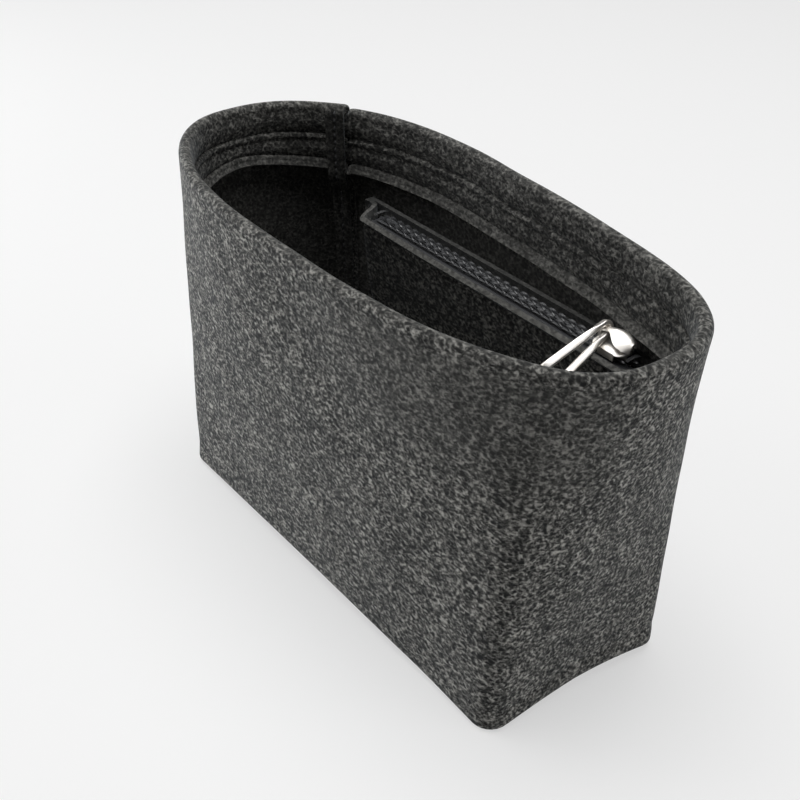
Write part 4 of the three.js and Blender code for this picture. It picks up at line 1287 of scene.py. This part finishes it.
class ORGANIZER_OT_zip_coils(Operator):
    """Winds the two halves of the zip's nylon coil"""

    bl_idname = "organizer.zip_coils"
    bl_label = "Zip coils"

    def execute(self, context):
        panel = PocketForm(context.scene)
        settings = context.scene.organizer_zip
        pitch = settings.pitch
        count = int((panel.zip_right - panel.zip_left - settings.lean) / pitch)
        for side, end in ZIP_SIDES:
            pattern = coil_turn(settings, COIL_BOX[0][2], COIL_BOX[1][2], ZIP_Y - COIL_BOX[0][1], side)
            start = panel.zip_left + pitch * (0.5 if side < 0 else 1.0)
            mirror = Matrix.Diagonal((1, side, 1, 1))
            places = [Matrix.Translation((start + i * pitch, ZIP_Y, 0)) @ mirror for i in range(count)]
            coil = copies(pattern, f"coil_{end}", places)
            outward(coil)
            smooth_shade(coil, 80)
            dress(coil, "coil", "organizer", f"zip_coil_{end}")
        return {"FINISHED"}


class ORGANIZER_OT_zip_tacks(Operator):
    """Sews the bar of thread across each end of the zip"""

    bl_idname = "organizer.zip_tacks"
    bl_label = "Zip tacks"

    def execute(self, context):
        thread = context.scene.organizer_zip.thread
        strands = 4
        for end in ("left", "right"):
            low, high = corners(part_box(f"zip_tack_{end}"))
            pattern = stitch_pattern((high[1] - low[1]) * 1.02, thread * 0.8)
            places = []
            for i in range(strands):
                x = low[0] + (high[0] - low[0]) * (i + 0.5) / strands
                z = low[2] + thread * (0.35 + 0.12 * (i % 2))
                turn = Matrix.Rotation(math.pi / 2 + math.radians(4 * (-1) ** i), 4, "Z")
                places.append(Matrix.Translation((x, (low[1] + high[1]) / 2, z)) @ turn)
            tack = copies(pattern, f"tack_{end}", places)
            smooth_shade(tack)
            dress(tack, "thread", "organizer", f"zip_tack_{end}")
        return {"FINISHED"}


# The slider and the pull

PLATE = 0.001
PLATE_ROUND = 0.00028
WING_ROUND, TAIL_ROUND = 0.0034, 0.0021
SIDE_THICKNESS, SIDE_DROP = 0.0008, 0.0022
BLOCK_ROUND = 0.0002
BRIDGE_LENGTH = 0.0152
BRIDGE_RISE = 0.00195
BRIDGE_THICKNESS = 0.0011
STRAP_HALF, DOME_HALF = 0.0009, 0.0037
CROWN_RISE, CROWN_FALL = 0.0005, 0.0011
DIMPLE, DIMPLE_WIDTH = 0.00022, 0.0009
DIMPLES = ((0.0008, -0.0005), (0.0034, -0.0006))
PULL_EYE, PULL_END, PULL_HALF = 0.00195, 0.0317, 0.0043
PULL_WIDTH, PULL_WIDENING = 0.0017, 0.0011
PULL_THICK, PULL_THINNING = 0.0012, 0.0005
PULL_DIP = math.radians(16)
PULL_LEAN = math.radians(44)


def rounded_plan(length, width, left_round, right_round, count):
    """The outline of a slider plate, rounder at its right end, anticlockwise."""
    rows = []
    for quarter, (side_x, side_y) in enumerate([(1, 1), (-1, 1), (-1, -1), (1, -1)]):
        radius = right_round if side_x > 0 else left_round
        angle = np.linspace(0, math.pi / 2, count) + quarter * math.pi / 2
        middle = np.array([side_x * (length / 2 - radius), side_y * (width / 2 - radius)])
        rows.append(middle + radius * np.stack([np.cos(angle), np.sin(angle)], -1))
    return np.vstack(rows)


def plate_piece(name, plan, low, high):
    """A plate of this plan with rounded edges."""
    plate = added(name, bpy.ops.mesh.primitive_circle_add, vertices=len(plan), radius=1, fill_type="NGON")
    points = points_of(plate)
    start = np.argmin(np.abs(np.arctan2(points[:, 1], points[:, 0])))
    forward = points[(start + 1) % len(points), 1] > 0
    order = (start + np.arange(len(plan)) * (1 if forward else -1)) % len(plan)
    placed = np.empty_like(points)
    placed[order] = np.column_stack([plan, np.full(len(plan), low)])
    move_points(plate, placed)
    up = {"value": (0, 0, high - low)}
    edit(plate, partial(bpy.ops.mesh.extrude_region_move, TRANSFORM_OT_translate=up))
    outward(plate)
    round_edges(plate, PLATE_ROUND, 3)
    return plate


def block_piece(low, high):
    """A small block with rounded edges."""
    piece = added("block", bpy.ops.mesh.primitive_cube_add, size=1)
    move_points(piece, points_of(piece) * (high - low) + (low + high) / 2)
    apply_modifier(piece, "BEVEL", width=BLOCK_ROUND, segments=2)
    return piece


class SliderForm:
    """Where the slider's parts lie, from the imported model."""

    def __init__(self):
        self.x = (SLIDER_BOX[0][0] + SLIDER_BOX[1][0]) / 2
        self.length = SLIDER_BOX[1][0] - SLIDER_BOX[0][0]
        self.width = SLIDER_BOX[1][1] - SLIDER_BOX[0][1]
        self.under = COIL_BOX[1][2] + SEWN_GAP
        self.top = self.under + PLATE
        self.low = SLIDER_BOX[0][2]
        self.pivot = Vector(PULL_JOINT["pos_m"])
        self.strap = -Vector(PULL_JOINT["axis"]).normalized()

    def bow(self, x):
        """How far the bridge rises above its ends."""
        return BRIDGE_RISE * np.sin(math.pi * (x + BRIDGE_LENGTH / 2) / BRIDGE_LENGTH)

    def bridge_z(self, x):
        """The middle height of the bridge at a length from the slider's middle."""
        return self.pivot.z + self.bow(x) - self.bow(self.pivot.x - self.x)


class ORGANIZER_OT_slider(Operator):
    """Forms the slider's plates and posts and its domed bridge"""

    bl_idname = "organizer.slider"
    bl_label = "Slider"

    def execute(self, context):
        slider = SliderForm()
        body = self.body(slider)
        smooth_shade(body, 35)
        dress(body, "metal", "slider", "slider_body")
        dress(self.bridge(slider), "metal", "slider", "slider_bridge")
        return {"FINISHED"}

    def body(self, slider):
        """Two plates with turned-down sides, a neck between them and a post at each end."""
        end, half = slider.length / 2, slider.width / 2
        plan = rounded_plan(slider.length, slider.width, TAIL_ROUND, WING_ROUND, 9)
        plan = plan + np.array([slider.x, ZIP_Y])
        pieces = [self.crowned_plate(slider, plan)]
        pieces.append(plate_piece("lower_plate", plan, slider.low, slider.low + PLATE))

        def block(x, y, z):
            ends = np.array([x, y, z]).T + [slider.x, ZIP_Y, 0]
            pieces.append(block_piece(*ends))

        straight = end - WING_ROUND
        for side in (-1, 1):
            across = sorted((side * (half - SIDE_THICKNESS), side * half))
            block((-straight, straight), across, (slider.under - SIDE_DROP, slider.under + 0.0006))
        neck = (end - 0.0036, end - 0.001)
        left_post = (-end + 0.0001, -end + 0.0013)
        right_post = (end - 0.003, end - 0.0018)
        left_top = slider.bridge_z(-end + 0.0006) - 0.0003
        right_top = slider.bridge_z(end - 0.0024) - 0.0006
        block(neck, (-0.0003, 0.0003), (slider.low + 0.0005, slider.top - 0.0005))
        block(left_post, (-0.001, 0.001), (slider.top - 0.0006, left_top))
        block(right_post, (-0.0018, 0.0018), (slider.top - 0.0006, right_top))
        return join(pieces, "slider_metal")

    def crowned_plate(self, slider, plan):
        """The top plate, whose wings slope down to both sides."""
        plate = plate_piece("slider_metal", plan, slider.under, slider.top)
        cuts = [(slider.x, ZIP_Y + step * slider.width / 12, 0) for step in range(-5, 6)]
        edit(plate, *[partial(bpy.ops.mesh.bisect, plane_co=cut, plane_no=(0, 1, 0)) for cut in cuts])
        points = points_of(plate)
        off = (points[:, 1] - ZIP_Y) / (slider.width / 2)
        upper = smooth(points[:, 2], slider.under + 0.0003, slider.top)
        points[:, 2] += upper * (CROWN_RISE - CROWN_FALL * off**2)
        move_points(plate, points)
        return plate

    def bridge(self, slider):
        """A narrow strap that broadens into a dome with its sides rolled down."""
        pull_x = slider.pivot.x - slider.x
        length = BRIDGE_LENGTH
        crest = 0.42

        def place(u, v):
            x = -length / 2 + length * u
            broad = smooth(x, pull_x + 0.0014, length / 4)
            rounding = np.sqrt(np.clip(1 - (np.maximum(x - length / 5, 0) / (length * 0.32)) ** 2, 0.05, 1))
            half = STRAP_HALF * (1 - broad) + DOME_HALF * rounding * broad
            t = 2 * v - 1
            y = t * half
            off_crest = np.where(t < crest, (crest - t) / (1 + crest), (t - crest) / 0.8)
            roll = (0.0003 + 0.0024 * broad) * off_crest**2
            tip = 0.0003 * smooth(x, length * 0.4, length / 2)
            dimple = sum(DIMPLE * dip(np.hypot(x - at_x, y - at_y), DIMPLE_WIDTH) for at_x, at_y in DIMPLES)
            z = slider.bridge_z(x) + 0.0003 * broad - roll - tip - dimple
            return np.column_stack([slider.x + x, ZIP_Y + y, z])

        bridge = grid_piece("slider_dome", 40, 18, place)
        thicken(bridge, BRIDGE_THICKNESS)
        round_edges(bridge, 0.00025, 2)
        apply_modifier(bridge, "SUBSURF", levels=1, render_levels=1)
        smooth_shade(bridge, 60)
        return bridge


class ORGANIZER_OT_pull(Operator):
    """Bends the zip's open pull round the strap of the bridge"""

    bl_idname = "organizer.pull"
    bl_label = "Pull"

    def execute(self, context):
        line, width = self.centre_line()
        rings = len(line)
        pull, angle, minor = torus_piece("pull_frame", rings, 16)
        index = np.rint(angle / (2 * math.pi) * rings).astype(int) % rings
        minor = np.sign(minor) * np.abs(minor) ** 0.55
        along = np.roll(line, -1, axis=0) - np.roll(line, 1, axis=0)
        along = along / np.linalg.norm(along, axis=1, keepdims=True)
        out = np.column_stack([along[:, 1], -along[:, 0]])
        away = -line[index, 1]
        lean = PULL_LEAN * smooth(away, 0.0015, 0.008) * (1 - smooth(away, 0.026, 0.030))
        side_way = np.where(line[index, 0] < 0, 1, -1)
        broad = minor[:, 0] * width[index] / 2
        thin = minor[:, 1] * (PULL_THICK - PULL_THINNING * smooth(away, 0.002, 0.007))
        across = broad * np.cos(lean) - side_way * thin * np.sin(lean)
        through = side_way * broad * np.sin(lean) + thin * np.cos(lean)
        local = np.column_stack([line[index] + out[index] * across[:, None], through])
        move_points(pull, local @ self.axes() + np.array(SliderForm().pivot))
        outward(pull)
        smooth_shade(pull, 60)
        dress(pull, "metal", "pull", "pull_tab")
        return {"FINISHED"}

    def axes(self):
        """The frame's own axes: across it, back along it to the eye, and along the strap."""
        strap = SliderForm().strap
        front = Vector((0, -1, 0))
        down = strap.cross(front)
        if down.z > 0:
            down = -down
        reach = front * math.cos(PULL_DIP) + down * math.sin(PULL_DIP)
        return np.array([reach.cross(strap).normalized(), -reach, strap])

    def centre_line(self):
        """The middle of the frame's wire, anticlockwise from the right of the eye, and its width."""
        eye, end, half = PULL_EYE, PULL_END, PULL_HALF
        angle = np.linspace(0, math.pi, 19)
        turn = eye * np.stack([np.cos(angle), np.sin(angle)], -1)
        fall = np.linspace(0, 1, 22)[1:-1]
        left = np.column_stack([-eye + (eye - half) * fall, -(end - half / 2) * fall])
        bow = np.linspace(0, 1, 9)[:, None]
        corner = ((1 - bow) ** 2) * [-half, half / 2 - end]
        corner = corner + 2 * bow * (1 - bow) * [-half, -end] + bow**2 * [-half / 2, -end]
        foot = np.array([[-half / 4, -end], [0, -end], [half / 4, -end]])
        mirror = [-1, 1]
        line = np.vstack([turn, left, corner, foot, corner[::-1] * mirror, left[::-1] * mirror])
        return line, PULL_WIDTH + PULL_WIDENING * smooth(-line[:, 1], 0, 0.012)


# The stage

LAMP_TARGET = Vector((0, 0, 0.07))

# Each lamp's name, place, width, height and power
LAMPS = (
    ("low_panel", (-0.75, -0.42, 0.075), 0.6, 0.13, 3.4),
    ("left_panel", (-1.56, -0.84, 0.53), 1.2, 1.0, 6.8),
    ("front_panel", (-0.9, -1.1, 1.25), 0.9, 0.9, 3.0),
    ("top_panel", (-0.12, 0.1, 1.6), 1.1, 1.1, 20.5),
    ("right_low_panel", (0.8, 0.3, 0.075), 0.6, 0.13, 1.45),
    ("right_panel", (1.5, 1.0, 0.63), 1.0, 1.0, 3.2),
)


def aimed(name, data, place, target):
    """A lamp or a camera at a place, looking at a target."""
    holder = bpy.data.objects.new(name, data)
    bpy.context.collection.objects.link(holder)
    holder.location = place
    holder.rotation_euler = (Vector(target) - Vector(place)).to_track_quat("-Z", "Y").to_euler()
    return holder


class ORGANIZER_OT_stage(Operator):
    """Sets the floor, the lamps, the sky and the camera"""

    bl_idname = "organizer.stage"
    bl_label = "Stage"

    def execute(self, context):
        scene = context.scene
        stage = scene.organizer_stage
        ground = added("studio_floor", bpy.ops.mesh.primitive_plane_add, size=8, location=(0, 0, 0))
        ground.data.materials.append(floor_finish(scene.organizer_finish))
        self.sky(scene, stage.world)
        for name, place, width, height, power in LAMPS:
            light = bpy.data.lights.new(name, "AREA")
            light.shape = "RECTANGLE"
            light.size = width
            light.size_y = height
            light.energy = power * stage.lamps
            aimed(name, light, place, LAMP_TARGET).visible_camera = False
        eye = bpy.data.cameras.new("picture_camera")
        eye.lens = stage.lens
        eye.sensor_width = 36
        eye.sensor_fit = "HORIZONTAL"
        scene.camera = aimed("picture_camera", eye, stage.eye, stage.target)
        scene.view_settings.view_transform = "Standard"
        return {"FINISHED"}

    def sky(self, scene, strength):
        """Even light from all round, and a white background where it is looked at."""
        scene.world = bpy.data.worlds.new("studio")
        scene.world.use_nodes = True
        nodes = Shading(scene.world.node_tree)
        amount = nodes.span(nodes.seen_directly(), 0, 1, strength, 0.93)
        nodes.feed(nodes.tree.nodes["Background"], {"Color": (1, 1, 1, 1), "Strength": amount})


class ORGANIZER_PT_panel(Panel):
    """Lists the organizer's pieces and their settings"""

    bl_idname = "ORGANIZER_PT_panel"
    bl_label = "Purse organizer"
    bl_space_type = "VIEW_3D"
    bl_region_type = "UI"
    bl_category = "Organizer"

    def draw(self, context):
        layout = self.layout
        for operator in OPERATORS:
            layout.operator(operator.bl_idname)
        for name, _ in SETTINGS:
            group = getattr(context.scene, name)
            box = layout.box()
            for key in group.__annotations__:
                box.prop(group, key)


OPERATORS = (
    ORGANIZER_OT_stage,
    ORGANIZER_OT_wall,
    ORGANIZER_OT_base,
    ORGANIZER_OT_pocket,
    ORGANIZER_OT_hem_stitches,
    ORGANIZER_OT_pocket_stitches,
    ORGANIZER_OT_zip_tapes,
    ORGANIZER_OT_zip_coils,
    ORGANIZER_OT_zip_tacks,
    ORGANIZER_OT_slider,
    ORGANIZER_OT_pull,
)
SETTINGS = (
    ("organizer_pouch", PouchSettings),
    ("organizer_pocket", PocketSettings),
    ("organizer_zip", ZipSettings),
    ("organizer_finish", FinishSettings),
    ("organizer_stage", StageSettings),
)


def register():
    for name, group in SETTINGS:
        bpy.utils.register_class(group)
        setattr(bpy.types.Scene, name, PointerProperty(type=group))
    for operator in OPERATORS:
        bpy.utils.register_class(operator)
    bpy.utils.register_class(ORGANIZER_PT_panel)


def unregister():
    bpy.utils.unregister_class(ORGANIZER_PT_panel)
    for operator in reversed(OPERATORS):
        bpy.utils.unregister_class(operator)
    for name, group in reversed(SETTINGS):
        delattr(bpy.types.Scene, name)
        bpy.utils.unregister_class(group)


def main():
    register()
    bpy.ops.organizer.stage()
    bpy.ops.organizer.wall()
    bpy.ops.organizer.base()
    bpy.ops.organizer.pocket()
    bpy.ops.organizer.hem_stitches()
    bpy.ops.organizer.pocket_stitches()
    bpy.ops.organizer.zip_tapes()
    bpy.ops.organizer.zip_coils()
    bpy.ops.organizer.zip_tacks()
    bpy.ops.organizer.slider()
    bpy.ops.organizer.pull()


if __name__ == "__main__":
    main()
